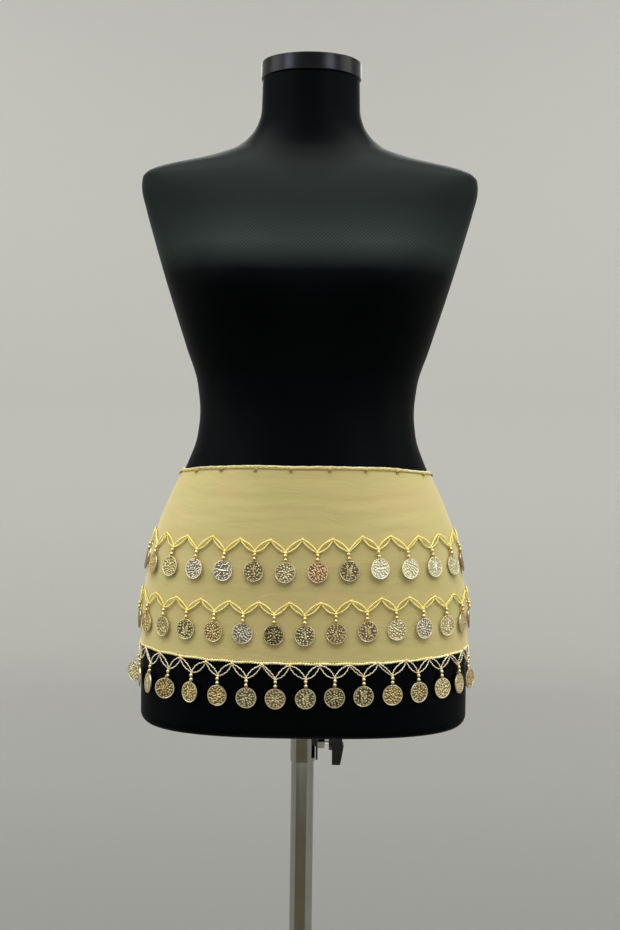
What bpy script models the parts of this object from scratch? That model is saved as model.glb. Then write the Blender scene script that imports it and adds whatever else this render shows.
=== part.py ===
"""Belly dance hip scarf with coin fringes, wound round a limbless dress form on its stand.

Metres, +Z up, the form's front faces -Y. The origin is the centre of the base's underside.
"""
import math
from collections import namedtuple

import bmesh
import bpy
from mathutils import Matrix, Vector

# Clearances
GAP = 0.0003  # between pieces that touch
RUN = 0.00035  # between pieces that turn or slide in each other

# Stand
BASE_RADIUS = 0.160
BASE_THICK = 0.010
BASE_ROUND = 0.004
SOCKET_RADIUS = 0.036
SOCKET_FLANGE = 0.005
SOCKET_NECK = 0.019
SOCKET_TALL = 0.042
POLE_RADIUS = 0.0120
POLE_TOP = 0.950

# Sleeve under the form, which slides on the pole, and its clamp
SLEEVE_RADIUS = 0.0130
SLEEVE_BOTTOM = 0.7784
SLEEVE_TOP = 0.856
CLAMP_HEIGHT = 0.800  # of the clamping screw, which lies along X
BRACKET_REACH = 0.0157
BRACKET_HALF = 0.009
LEAF_THICK = 0.002
SCREW_RADIUS = 0.0030
NUT_RADIUS = 0.0088
NUT_THICK = 0.0070
HUB_RADIUS = 0.0105
HUB_THICK = 0.0140
LEVER_REACH = 0.0250

# Dress form
UNDERSIDE = 0.8262
UNDERSIDE_ROUND = 0.009
NECK_TOP = 1.488
CAP_RADIUS = 0.0517
CAP_TALL = 0.0175
BORE_RADIUS = 0.0143
BORE_TOP = 1.128
BUST_RISE = 0.011
BUST_APART = 0.084
BUST_HEIGHT = 1.276
BUST_WIDE = 0.053
BUST_TALL = 0.040

# Scarf: one length of chiffon, wound once round the hips with its ends crossed behind
SIDES = 60  # round a full turn
CLOTH_OFF = 0.0009  # off the form
CLOTH_WALL = 0.0010
LAYER_GAP = 0.0005  # between the two ends where they cross
CROSS_ANGLE = 12  # degrees that each end runs past the centre of the back
STEP_START = 150  # degrees from the front, where the outer end starts to rise over the inner one
STEP_END = 162
HEM = 0.9037
HEM_LIFT = 0.0035  # how much higher the hem lies at the sides of the hips
TOP_FRONT = 1.093
TOP_DIP = 0.010  # by which the top edge is lower at the sides and back than in front
CORD_RADIUS = 0.0010

# Coin fringes, each of them a row of loops, beads and coins
ROW_REACH = 0.0425
ROW_THICK = 0.0040
ROW_TOPS = {"coin_row_upper": 1.0225, "coin_row_middle": 0.9618}
ROW_START = -165.5  # degrees, just past the outer end's edge
ROW_END = 191.0

# Knot that ties the two top corners behind
KNOT_HALF = Vector((0.0190, 0.0100, 0.0125))
KNOT_HEIGHT = 1.0745
TAIL_LENGTH = 0.072
TAIL_OFF_TOP = 0.0060
TAIL_OFF_LOW = 0.0086
TAIL_WALL = 0.0012

FormSection = namedtuple("FormSection", "height half_width front back squareness")
FORM_SECTIONS = (
    FormSection(0.8262, 0.1694, 0.1112, 0.1110, 2.70),
    FormSection(0.8600, 0.1699, 0.1132, 0.1150, 2.42),
    FormSection(0.9000, 0.1697, 0.1140, 0.1195, 2.24),
    FormSection(0.9400, 0.1683, 0.1120, 0.1220, 2.20),
    FormSection(0.9800, 0.1632, 0.1085, 0.1180, 2.20),
    FormSection(1.0240, 0.1530, 0.1030, 0.1065, 2.20),
    FormSection(1.0620, 0.1379, 0.0965, 0.0940, 2.15),
    FormSection(1.0960, 0.1220, 0.0900, 0.0850, 2.15),
    FormSection(1.1200, 0.1139, 0.0865, 0.0815, 2.15),
    FormSection(1.1450, 0.1114, 0.0850, 0.0805, 2.15),
    FormSection(1.1750, 0.1144, 0.0870, 0.0825, 2.20),
    FormSection(1.2110, 0.1258, 0.0940, 0.0870, 2.35),
    FormSection(1.2750, 0.1456, 0.1085, 0.0957, 2.75),
    FormSection(1.3000, 0.1530, 0.1042, 0.0995, 2.95),
    FormSection(1.3250, 0.1602, 0.0966, 0.1015, 3.15),
    FormSection(1.3500, 0.1672, 0.0882, 0.0990, 3.30),
    FormSection(1.3740, 0.1724, 0.0788, 0.0880, 3.45),
    FormSection(1.3830, 0.1718, 0.0742, 0.0815, 3.40),
    FormSection(1.3885, 0.1682, 0.0708, 0.0762, 3.25),
    FormSection(1.3930, 0.1600, 0.0677, 0.0716, 3.05),
    FormSection(1.3975, 0.1445, 0.0645, 0.0676, 2.85),
    FormSection(1.4030, 0.1205, 0.0608, 0.0636, 2.60),
    FormSection(1.4095, 0.0975, 0.0572, 0.0600, 2.40),
    FormSection(1.4160, 0.0800, 0.0548, 0.0570, 2.25),
    FormSection(1.4270, 0.0650, 0.0528, 0.0541, 2.12),
    FormSection(1.4400, 0.0558, 0.0516, 0.0523, 2.03),
    FormSection(1.4560, 0.0511, 0.0507, 0.0509, 2.00),
    FormSection(1.4880, 0.0502, 0.0502, 0.0502, 2.00),
)
FORM_STEPS = 2  # rings from one section to the next
SPLIT_BELOW = 1.34  # higher up, the sections are already close


# ---------------------------------------------------------------- shapes that follow a rule


def blend_slope(before, after, gap_before, gap_after):
    """Slope of a smooth curve at a section, flat where the sections rise and then fall."""
    if before * after <= 0:
        return 0.0
    first = 2 * gap_after + gap_before
    second = gap_after + 2 * gap_before
    return (first + second) / (first / before + second / after)


def column_at(column, height):
    """One column of the form's table at any height, on a curve that never overshoots."""
    heights = [section.height for section in FORM_SECTIONS]
    values = [getattr(section, column) for section in FORM_SECTIONS]
    height = min(max(height, heights[0]), heights[-1])
    index = 0
    while index < len(heights) - 2 and height > heights[index + 1]:
        index += 1
    gaps = [heights[i + 1] - heights[i] for i in range(len(heights) - 1)]
    rises = [(values[i + 1] - values[i]) / gaps[i] for i in range(len(gaps))]
    slope_low = rises[index]
    if index > 0:
        slope_low = blend_slope(rises[index - 1], rises[index], gaps[index - 1], gaps[index])
    slope_high = rises[index]
    if index < len(rises) - 1:
        slope_high = blend_slope(rises[index], rises[index + 1], gaps[index], gaps[index + 1])
    gap = gaps[index]
    t = (height - heights[index]) / gap
    low, high = values[index], values[index + 1]
    value = low * (2 * t**3 - 3 * t**2 + 1) + high * (3 * t**2 - 2 * t**3)
    return value + gap * (slope_low * (t**3 - 2 * t**2 + t) + slope_high * (t**3 - t**2))


def bust_rise(x, height):
    """How far the front of the form is moved out by its two low bust lobes."""
    total = 0.0
    for side in (-1, 1):
        across = (x - side * BUST_APART) / BUST_WIDE
        up = (height - BUST_HEIGHT) / BUST_TALL
        total += math.exp(-across * across - up * up)
    return BUST_RISE * total


def form_point(angle, height, out=0.0):
    """A point on the form, or moved out from it. The angle is 0 in front and grows towards +X."""
    turn = math.radians(angle)
    across, along = math.sin(turn), -math.cos(turn)
    half_width = column_at("half_width", height)
    depth = column_at("front" if along < 0 else "back", height)
    power = column_at("squareness", height)
    reach = (abs(across / half_width) ** power + abs(along / depth) ** power) ** (-1 / power)
    x, y = reach * across, reach * along
    normal = Vector((
        math.copysign(abs(x) ** (power - 1) / half_width**power, x),
        math.copysign(abs(y) ** (power - 1) / depth**power, y),
        0.0,
    )).normalized()
    if along < 0:
        y -= bust_rise(x, height) * -along
    return Vector((x, y, height)) + normal * out


def underside_inset(height):
    """How far the form's rounded lower edge is set in."""
    up = height - UNDERSIDE
    if up >= UNDERSIDE_ROUND:
        return 0.0
    return UNDERSIDE_ROUND - math.sqrt(UNDERSIDE_ROUND**2 - (UNDERSIDE_ROUND - up) ** 2)


def top_edge(angle):
    """Height of the scarf's top edge, a little lower at the sides and behind."""
    towards_front = max(0.0, math.cos(math.radians(angle)))
    return TOP_FRONT - TOP_DIP * (1 - towards_front**2)


def hem_edge(angle):
    """Height of the scarf's hem, a little higher at the sides of the hips."""
    return HEM + HEM_LIFT * math.sin(math.radians(angle)) ** 4


def layer_step(angle):
    """How far the cloth is moved out at an angle, so that the outer end lies over the inner one."""
    t = min(max((angle - STEP_START) / (STEP_END - STEP_START), 0.0), 1.0)
    return (CLOTH_WALL + LAYER_GAP) * t * t * (3 - 2 * t)


def cloth_face(angle):
    """Distance from the form to the scarf's outer face."""
    return CLOTH_OFF + layer_step(angle) + CLOTH_WALL


def angles_between(start, end):
    """The start, the end and each even division of the turn between them."""
    step = 360 / SIDES
    inner = range(math.floor(start / step) + 1, math.ceil(end / step))
    return [start] + [index * step for index in inner] + [end]


# ---------------------------------------------------------------- mesh builders


def add_object(name, mesh, material):
    """Link a mesh or curve as an object with one material."""
    item = bpy.data.objects.new(name, mesh)
    bpy.context.scene.collection.objects.link(item)
    mesh.materials.append(material)
    return item


def finish_mesh(name, bm, material, smooth=True):
    """Turn a closed bmesh into an object with its faces pointing out."""
    bmesh.ops.recalc_face_normals(bm, faces=bm.faces)
    mesh = bpy.data.meshes.new(name)
    bm.to_mesh(mesh)
    bm.free()
    if smooth:
        mesh.shade_smooth()
        mesh.set_sharp_from_angle(angle=math.radians(35))
    return add_object(name, mesh, material)


def lofted_solid(name, rings, material):
    """A closed body through rings of equal count, with its first and last ring filled."""
    bm = bmesh.new()
    loops = [[bm.verts.new(point) for point in ring] for ring in rings]
    count = len(loops[0])
    for low, high in zip(loops, loops[1:]):
        for i in range(count):
            j = (i + 1) % count
            bm.faces.new((low[i], low[j], high[j], high[i]))
    bm.faces.new(list(reversed(loops[0])))
    bm.faces.new(loops[-1])
    return finish_mesh(name, bm, material)


def walled_solid(name, inner, outer, material):
    """A wall between two grids of points of the same size, closed along its four edges."""
    rows, columns = len(inner), len(inner[0])
    bm = bmesh.new()
    near = [[bm.verts.new(point) for point in row] for row in inner]
    far = [[bm.verts.new(point) for point in row] for row in outer]
    for r in range(rows - 1):
        for c in range(columns - 1):
            bm.faces.new((near[r][c], near[r + 1][c], near[r + 1][c + 1], near[r][c + 1]))
            bm.faces.new((far[r][c], far[r][c + 1], far[r + 1][c + 1], far[r + 1][c]))
    for r in range(rows - 1):
        for c in (0, columns - 1):
            bm.faces.new((near[r][c], near[r + 1][c], far[r + 1][c], far[r][c]))
    for c in range(columns - 1):
        for r in (0, rows - 1):
            bm.faces.new((near[r][c], near[r][c + 1], far[r][c + 1], far[r][c]))
    return finish_mesh(name, bm, material)


def turned_solid(name, outline, material, sides=40):
    """A body of revolution about Z from a closed outline of (radius, height) points."""
    bm = bmesh.new()
    corners = [bm.verts.new((radius, 0.0, height)) for radius, height in outline]
    edges = [bm.edges.new((a, b)) for a, b in zip(corners, corners[1:] + corners[:1])]
    bmesh.ops.spin(
        bm, geom=corners + edges, axis=(0, 0, 1), cent=(0, 0, 0), angle=math.tau, steps=sides
    )
    bmesh.ops.remove_doubles(bm, verts=bm.verts, dist=1e-6)
    bmesh.ops.dissolve_degenerate(bm, edges=bm.edges, dist=1e-6)
    return finish_mesh(name, bm, material)


def cord_along(name, route, radius, material):
    """A round cord with closed ends along a route of points."""
    curve = bpy.data.curves.new(name, "CURVE")
    curve.dimensions = "3D"
    curve.bevel_depth = radius
    curve.bevel_resolution = 1
    curve.use_fill_caps = True
    spline = curve.splines.new("POLY")
    spline.points.add(len(route) - 1)
    for point, place in zip(spline.points, route):
        point.co = (*place, 1.0)
    return add_object(name, curve, material)


def rod_along_x(bm, start, end, radius, height, sides=16):
    """Add a capped round rod that lies along X to a bmesh."""
    place = Matrix.Translation(((start + end) / 2, 0, height)) @ Matrix.Rotation(math.pi / 2, 4, "Y")
    bmesh.ops.create_cone(
        bm, cap_ends=True, segments=sides, radius1=radius, radius2=radius,
        depth=end - start, matrix=place,
    )


def join_or_cut(target, tool, operation):
    """Join a tool to a solid or cut it away, and keep the tool out of the model."""
    modifier = target.modifiers.new(operation.lower(), "BOOLEAN")
    modifier.operation = operation
    modifier.object = tool
    tool.hide_render = True
    tool.display_type = "WIRE"


# ---------------------------------------------------------------- materials


def plain_material(name, colour, roughness, metallic=0.0):
    """A Principled material with one colour."""
    material = bpy.data.materials.new(name)
    material.use_nodes = True
    shader = material.node_tree.nodes["Principled BSDF"]
    shader.inputs["Base Color"].default_value = (*colour, 1.0)
    shader.inputs["Roughness"].default_value = roughness
    shader.inputs["Metallic"].default_value = metallic
    return material


def make_materials():
    """Every finish of the object, by name."""
    return {
        "chiffon": plain_material("chiffon", (0.52, 0.43, 0.17), 0.65),
        "gold_yarn": plain_material("gold_yarn", (0.60, 0.45, 0.12), 0.55),
        "gold_coin": plain_material("gold_coin", (0.55, 0.45, 0.27), 0.35, 1.0),
        "black_jersey": plain_material("black_jersey", (0.010, 0.012, 0.013), 0.80),
        "black_gloss": plain_material("black_gloss", (0.012, 0.012, 0.014), 0.22),
        "black_plastic": plain_material("black_plastic", (0.012, 0.012, 0.012), 0.45),
        "chrome": plain_material("chrome", (0.72, 0.72, 0.70), 0.14, 1.0),
    }


# ---------------------------------------------------------------- stand


def make_base_plate(material):
    """Round plate that the whole stand rests on, flat below and rounded at its upper edge."""
    outline = [(0.0, 0.0), (BASE_RADIUS, 0.0)]
    for step in range(4):
        turn = math.radians(30 * step)
        radius = BASE_RADIUS - BASE_ROUND * (1 - math.cos(turn))
        outline.append((radius, BASE_THICK - BASE_ROUND * (1 - math.sin(turn))))
    outline.append((0.0, BASE_THICK))
    return turned_solid("base_plate", outline, material, sides=48)


def make_base_socket(material):
    """Flanged socket on the plate that holds the foot of the pole."""
    low = BASE_THICK + GAP
    bore = POLE_RADIUS + RUN
    outline = [
        (bore, low),
        (SOCKET_RADIUS, low),
        (SOCKET_RADIUS, low + SOCKET_FLANGE),
        (SOCKET_NECK + 0.003, low + SOCKET_FLANGE + 0.003),
        (SOCKET_NECK, low + SOCKET_FLANGE + 0.008),
        (SOCKET_NECK, low + SOCKET_TALL - 0.001),
        (SOCKET_NECK - 0.001, low + SOCKET_TALL),
        (bore, low + SOCKET_TALL),
    ]
    return turned_solid("base_socket", outline, material)


def make_pole(material):
    """Round pole from the base up into the form."""
    low = BASE_THICK + GAP
    outline = [
        (0.0, low),
        (POLE_RADIUS, low),
        (POLE_RADIUS, POLE_TOP - 0.001),
        (POLE_RADIUS - 0.001, POLE_TOP),
        (0.0, POLE_TOP),
    ]
    return turned_solid("pole", outline, material)


def make_sleeve(material):
    """Thin sleeve that carries the form on the pole, with a hole for the clamping screw."""
    bore = POLE_RADIUS + RUN
    outline = [
        (bore, SLEEVE_BOTTOM),
        (SLEEVE_RADIUS, SLEEVE_BOTTOM),
        (SLEEVE_RADIUS, SLEEVE_TOP),
        (bore, SLEEVE_TOP),
    ]
    sleeve = turned_solid("form_sleeve", outline, material)
    bm = bmesh.new()
    rod_along_x(bm, 0.006, 0.020, SCREW_RADIUS + RUN, CLAMP_HEIGHT)
    join_or_cut(sleeve, finish_mesh("sleeve_hole", bm, material), "DIFFERENCE")
    return sleeve


def make_clamp_bracket(material):
    """Black saddle on the sleeve's side, with a thin leaf that hangs lower than the saddle."""
    saddle_low = CLAMP_HEIGHT - 0.0045
    leaf_low = CLAMP_HEIGHT - 0.0190
    top = CLAMP_HEIGHT + 0.0140
    leaf = BRACKET_REACH - LEAF_THICK
    side = [
        (0.0088, saddle_low),
        (leaf, saddle_low),
        (leaf, leaf_low),
        (BRACKET_REACH, leaf_low),
        (BRACKET_REACH, top),
        (0.0088, top),
    ]
    bm = bmesh.new()
    face = bm.faces.new([bm.verts.new((x, -BRACKET_HALF, z)) for x, z in side])
    swept = bmesh.ops.extrude_face_region(bm, geom=[face])
    ends = [item for item in swept["geom"] if isinstance(item, bmesh.types.BMVert)]
    bmesh.ops.translate(bm, verts=ends, vec=(0, 2 * BRACKET_HALF, 0))
    bracket = finish_mesh("clamp_bracket", bm, material, smooth=False)
    seat = [
        (0.0, leaf_low - 0.01),
        (SLEEVE_RADIUS + GAP, leaf_low - 0.01),
        (SLEEVE_RADIUS + GAP, top + 0.01),
        (0.0, top + 0.01),
    ]
    join_or_cut(bracket, turned_solid("bracket_seat", seat, material), "DIFFERENCE")
    bm = bmesh.new()
    rod_along_x(bm, 0.004, 0.030, SCREW_RADIUS + RUN, CLAMP_HEIGHT)
    join_or_cut(bracket, finish_mesh("bracket_hole", bm, material), "DIFFERENCE")
    return bracket


def make_clamp_screw(material):
    """Screw through the bracket and the sleeve, with a six-sided nut and a shank to the handle."""
    nut_start = BRACKET_REACH + GAP
    nut_end = nut_start + NUT_THICK
    shank_end = nut_end + 0.0042
    bm = bmesh.new()
    rod_along_x(bm, POLE_RADIUS + RUN, nut_start + 0.002, SCREW_RADIUS, CLAMP_HEIGHT)
    screw = finish_mesh("clamp_screw", bm, material)
    screw.location = (0, 0, 0)
    bm = bmesh.new()
    rod_along_x(bm, nut_start, nut_end, NUT_RADIUS, CLAMP_HEIGHT, sides=6)
    join_or_cut(screw, finish_mesh("screw_nut", bm, material, smooth=False), "UNION")
    bm = bmesh.new()
    rod_along_x(bm, nut_end - 0.002, shank_end, SCREW_RADIUS * 1.5, CLAMP_HEIGHT)
    join_or_cut(screw, finish_mesh("screw_shank", bm, material), "UNION")
    return screw


def make_clamp_handle(material):
    """Round hub with one tapered lever, which hangs down at rest."""
    start = BRACKET_REACH + GAP + NUT_THICK + 0.0042 + GAP
    end = start + HUB_THICK
    bm = bmesh.new()
    rod_along_x(bm, start, end, HUB_RADIUS, CLAMP_HEIGHT, sides=24)
    handle = finish_mesh("clamp_handle", bm, material)
    rings = []
    for reach, thick, half in ((0.004, 0.0120, 0.0090), (0.014, 0.0105, 0.0080), (1.0, 0.0085, 0.0062)):
        down = LEVER_REACH if reach == 1.0 else reach
        low = start + 0.0035
        z = CLAMP_HEIGHT - down
        rings.append([(low, -half, z), (low + thick, -half, z), (low + thick, half, z), (low, half, z)])
    lever = lofted_solid("handle_lever", rings, material)
    join_or_cut(handle, lever, "UNION")
    return handle


# ---------------------------------------------------------------- dress form


def form_heights():
    """Heights of the form's rings, close together at its rounded lower edge and shoulders."""
    heights = [UNDERSIDE + UNDERSIDE_ROUND * (1 - math.cos(math.radians(30 * step))) for step in range(4)]
    for low, high in zip(FORM_SECTIONS, FORM_SECTIONS[1:]):
        steps = FORM_STEPS if high.height < SPLIT_BELOW else 1
        for step in range(1, steps + 1):
            height = low.height + (high.height - low.height) * step / steps
            if height > heights[-1] + 0.003:
                heights.append(height)
    return heights


def make_form_torso(material):
    """Torso without limbs, with a blind bore in its underside that the pole slides in."""
    angles = [360 / SIDES * index for index in range(SIDES)]
    rings = []
    for height in (BORE_TOP, UNDERSIDE):
        ring = []
        for angle in angles:
            turn = math.radians(angle)
            ring.append((BORE_RADIUS * math.sin(turn), -BORE_RADIUS * math.cos(turn), height))
        rings.append(ring)
    for height in form_heights():
        rings.append([form_point(angle, height, -underside_inset(height)) for angle in angles])
    return lofted_solid("form_torso", rings, material)


def make_neck_cap(material):
    """Flat round cap on the neck, with small rounded edges."""
    low = NECK_TOP + GAP
    top = low + CAP_TALL
    edge = 0.0015
    outline = [
        (0.0, low),
        (CAP_RADIUS - edge, low),
        (CAP_RADIUS, low + edge),
        (CAP_RADIUS, top - edge),
        (CAP_RADIUS - edge, top),
        (0.0, top),
    ]
    return turned_solid("neck_cap", outline, material)


# ---------------------------------------------------------------- scarf


def make_scarf_wrap(material):
    """The chiffon: a wall that follows the form, crosses behind and steps out over its own end."""
    angles = angles_between(-180 - CROSS_ANGLE, 180 + CROSS_ANGLE)
    rows = 10
    faces = []
    for wall in (0.0, CLOTH_WALL):
        grid = []
        for row in range(rows + 1):
            line = []
            for angle in angles:
                low = hem_edge(angle)
                height = low + (top_edge(angle) - low) * row / rows
                line.append(form_point(angle, height, CLOTH_OFF + layer_step(angle) + wall))
            grid.append(line)
        faces.append(grid)
    return walled_solid("scarf_wrap", faces[0], faces[1], material)


def edge_route(height_of, start, end):
    """Points along a level edge of the scarf, in the middle of its wall."""
    route = []
    for angle in angles_between(start, end):
        middle = cloth_face(angle) - CLOTH_WALL / 2
        route.append(form_point(angle, height_of(angle), middle))
    return route


def make_top_cord(material):
    """Crocheted cord along the top edge."""
    above = GAP + CORD_RADIUS
    route = edge_route(lambda angle: top_edge(angle) + above, ROW_START, 180 + CROSS_ANGLE)
    return cord_along("top_cord", route, CORD_RADIUS, material)


def make_hem_edging(material):
    """Beaded edging along the hem."""
    below = GAP + CORD_RADIUS
    route = edge_route(lambda angle: hem_edge(angle) - below, ROW_START, 180 + CROSS_ANGLE)
    return cord_along("hem_edging", route, CORD_RADIUS, material)


def make_end_edging(material):
    """Edging up the outer end's free edge, behind."""
    edge = 180 + CROSS_ANGLE
    middle = cloth_face(edge)  # clear of the layer below
    steps = 8
    low = hem_edge(edge) + GAP
    high = top_edge(edge) - GAP
    route = []
    for step in range(steps + 1):
        height = low + (high - low) * step / steps
        here = form_point(edge, height, middle)
        ahead = form_point(edge + 1, height, middle) - here
        route.append(here + ahead.normalized() * (2 * GAP + CORD_RADIUS))
    return cord_along("end_edging", route, CORD_RADIUS, material)


def make_coin_row(name, top, material, start, hangs_free=False):
    """The reach of one row of loops, beads and coins, a plain band close over the cloth."""
    levels = 3
    angles = angles_between(start, ROW_END)
    faces = []
    for thick in (0.0, ROW_THICK):
        grid = []
        for level in range(levels + 1):
            line = []
            for angle in angles:
                height = top - ROW_REACH * (1 - level / levels)
                if hangs_free:
                    height += hem_edge(angle) - HEM
                foot = CLOTH_OFF + layer_step(angle) if hangs_free else cloth_face(angle) + 1.5 * GAP
                line.append(form_point(angle, height, foot + thick))
            grid.append(line)
        faces.append(grid)
    return walled_solid(name, faces[0], faces[1], material)


def make_knot(material):
    """Small flat knot of the two top corners, pinched in its middle."""
    bm = bmesh.new()
    bmesh.ops.create_uvsphere(bm, u_segments=20, v_segments=12, radius=1.0)
    back = form_point(180, KNOT_HEIGHT, cloth_face(180) + CORD_RADIUS + 2 * GAP)
    centre = back + Vector((0, KNOT_HALF.y, 0))
    for vert in bm.verts:
        pinch = 1 - 0.22 * math.exp(-((vert.co.x / 0.30) ** 2))
        shape = Vector((vert.co.x * KNOT_HALF.x, vert.co.y * KNOT_HALF.y, vert.co.z * KNOT_HALF.z * pinch))
        vert.co = centre + shape
    return finish_mesh("knot", bm, material)


def make_tail(name, side, material):
    """One short free end of the knot, which widens as it hangs and is cut on the slant."""
    steps, columns = 8, 4
    start = KNOT_HEIGHT - KNOT_HALF.z - 2 * GAP
    faces = []
    for wall in (0.0, TAIL_WALL):
        grid = []
        for step in range(steps + 1):
            t = step / steps
            line = []
            for column in range(columns + 1):
                u = column / columns - 0.5
                middle = side * (0.0085 + 0.0165 * t)
                half = 0.0065 + 0.0085 * t
                x = middle + 2 * half * u
                height = start - TAIL_LENGTH * t * (1 - 0.16 * t * (0.5 + side * u))
                angle = 180 - math.degrees(math.atan2(x, column_at("back", height)))
                off = TAIL_OFF_TOP + (TAIL_OFF_LOW - TAIL_OFF_TOP) * min(1.0, 2.2 * t)
                line.append(form_point(angle, height, off + wall))
            grid.append(line)
        faces.append(grid)
    return walled_solid(name, faces[0], faces[1], material)


# ---------------------------------------------------------------- the whole object


def clear_scene():
    """Remove what the scene holds."""
    for item in list(bpy.data.objects):
        bpy.data.objects.remove(item, do_unlink=True)


def add_pivot(name, place, children):
    """An empty on a joint's axis, with the pieces that move about it as its children."""
    pivot = bpy.data.objects.new(name, None)
    pivot.empty_display_size = 0.03
    pivot.location = place
    bpy.context.scene.collection.objects.link(pivot)
    bpy.context.view_layer.update()
    for child in children:
        child.parent = pivot
        child.matrix_parent_inverse = pivot.matrix_world.inverted()
    return pivot


def build():
    """Make every piece and hang the moving ones from their joints."""
    clear_scene()
    finish = make_materials()
    make_base_plate(finish["chrome"])
    make_base_socket(finish["chrome"])
    make_pole(finish["chrome"])
    sleeve = make_sleeve(finish["chrome"])
    bracket = make_clamp_bracket(finish["black_plastic"])
    screw = make_clamp_screw(finish["chrome"])
    handle = make_clamp_handle(finish["black_plastic"])
    torso = make_form_torso(finish["black_jersey"])
    cap = make_neck_cap(finish["black_gloss"])
    scarf = [
        make_scarf_wrap(finish["chiffon"]),
        make_top_cord(finish["gold_yarn"]),
        make_hem_edging(finish["gold_yarn"]),
        make_end_edging(finish["gold_yarn"]),
        make_knot(finish["chiffon"]),
        make_tail("tail_left", -1, finish["chiffon"]),
        make_tail("tail_right", 1, finish["chiffon"]),
    ]
    for name, top in ROW_TOPS.items():
        scarf.append(make_coin_row(name, top, finish["gold_coin"], ROW_START))
    hem_row_top = HEM - 2 * CORD_RADIUS - 2 * GAP
    scarf.append(make_coin_row("coin_row_hem", hem_row_top, finish["gold_coin"], ROW_START, True))
    slide = add_pivot("height_pivot", (0, 0, SLEEVE_BOTTOM), [sleeve, bracket])
    swivel = add_pivot("swivel_pivot", (0, 0, UNDERSIDE), [torso, cap] + scarf)
    clamp = add_pivot("clamp_pivot", (BRACKET_REACH, 0, CLAMP_HEIGHT), [screw, handle])
    bpy.context.view_layer.update()
    for pivot in (swivel, clamp):
        pivot.parent = slide
        pivot.matrix_parent_inverse = slide.matrix_world.inverted()


build()
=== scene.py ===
import math
import random

import bpy
import numpy as np
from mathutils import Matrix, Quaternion, Vector


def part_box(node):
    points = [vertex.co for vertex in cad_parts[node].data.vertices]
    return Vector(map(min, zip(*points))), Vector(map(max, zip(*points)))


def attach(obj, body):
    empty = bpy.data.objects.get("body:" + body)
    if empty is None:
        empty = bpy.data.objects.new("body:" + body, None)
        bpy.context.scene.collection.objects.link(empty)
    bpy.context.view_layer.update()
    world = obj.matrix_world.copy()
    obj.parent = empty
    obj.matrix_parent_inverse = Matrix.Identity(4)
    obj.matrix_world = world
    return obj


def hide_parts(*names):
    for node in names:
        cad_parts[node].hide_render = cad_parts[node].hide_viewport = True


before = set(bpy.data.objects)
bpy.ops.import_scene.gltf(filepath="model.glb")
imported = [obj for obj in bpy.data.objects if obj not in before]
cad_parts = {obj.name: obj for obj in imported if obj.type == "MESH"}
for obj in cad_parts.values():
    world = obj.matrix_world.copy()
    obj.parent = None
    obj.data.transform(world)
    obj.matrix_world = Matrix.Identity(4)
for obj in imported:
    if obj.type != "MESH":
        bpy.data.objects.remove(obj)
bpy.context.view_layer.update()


class Wire:
    # one output socket; sums written on wires become Math nodes
    def __init__(self, finish, socket):
        self.finish, self.socket = finish, socket

    def sum(self, operation, first, second=0.0, clamp=False):
        return self.finish.node("ShaderNodeMath", {"operation": operation, "use_clamp": clamp},
                                {0: first, 1: second})

    def __add__(self, other):
        return self.sum("ADD", self, other)

    def __radd__(self, other):
        return self.sum("ADD", other, self)

    def __sub__(self, other):
        return self.sum("SUBTRACT", self, other)

    def __rsub__(self, other):
        return self.sum("SUBTRACT", other, self)

    def __mul__(self, other):
        return self.sum("MULTIPLY", self, other)

    def __rmul__(self, other):
        return self.sum("MULTIPLY", other, self)

    def clamped(self):
        return self.sum("ADD", self, 0.0, clamp=True)

    def sine(self):
        return self.sum("SINE", self)


class Finish:
    # one material and the nodes in it
    def __init__(self, name):
        self.material = bpy.data.materials.new(name)
        self.material.use_nodes = True
        self.tree = self.material.node_tree
        self.tree.nodes.clear()

    def node(self, kind, settings=None, sockets=None, out=0):
        made = self.tree.nodes.new(kind)
        for name, value in (settings or {}).items():
            setattr(made, name, value)
        for name, value in (sockets or {}).items():
            if isinstance(value, Wire):
                self.tree.links.new(value.socket, made.inputs[name])
            else:
                made.inputs[name].default_value = value
        return Wire(self, made.outputs[out]) if made.outputs else None

    def mix(self, factor, first, second, blend="MIX"):
        return self.node("ShaderNodeMix", {"data_type": "RGBA", "blend_type": blend},
                         {0: factor, 6: first, 7: second}, out=2)

    def attribute(self, name, out):
        return self.node("ShaderNodeAttribute", {"attribute_name": name}, out=out)

    def place(self):
        return self.node("ShaderNodeTexCoord", out=3)  # object coordinates, in metres

    def stretch(self, where, by):
        return self.node("ShaderNodeVectorMath", {"operation": "MULTIPLY"}, {0: where, 1: by})

    def noise(self, where, scale, detail=2.0, rough=0.5):
        return self.node("ShaderNodeTexNoise", {}, {"Vector": where, "Scale": scale, "Detail": detail,
                                                    "Roughness": rough})

    def bump(self, height, strength, distance, normal=None):
        sockets = {"Height": height, "Strength": strength, "Distance": distance}
        if normal:
            sockets["Normal"] = normal
        return self.node("ShaderNodeBump", {}, sockets)

    def surface(self, **values):
        sockets = {name.replace("_", " "): value for name, value in values.items()}
        shader = self.node("ShaderNodeBsdfPrincipled", {}, sockets)
        self.node("ShaderNodeOutputMaterial", {}, {"Surface": shader})
        return self.material


def rgb(red, green, blue):
    # a plain colour as a socket takes it
    return (red, green, blue, 1.0)


def smooth(values, low, high):
    # 0 below low, 1 above high and an even bend between them
    t = np.clip((values - low) / (high - low), 0, 1)
    return t * t * (3 - 2 * t)


def runAlong(points):
    # the distance from the first point to each point of a path
    steps = np.linalg.norm(np.diff(points, axis=0), axis=1)
    return np.concatenate(([0.0], np.cumsum(steps)))


def madeUnit(vectors):
    return vectors / np.linalg.norm(vectors, axis=1)[:, None]


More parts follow.
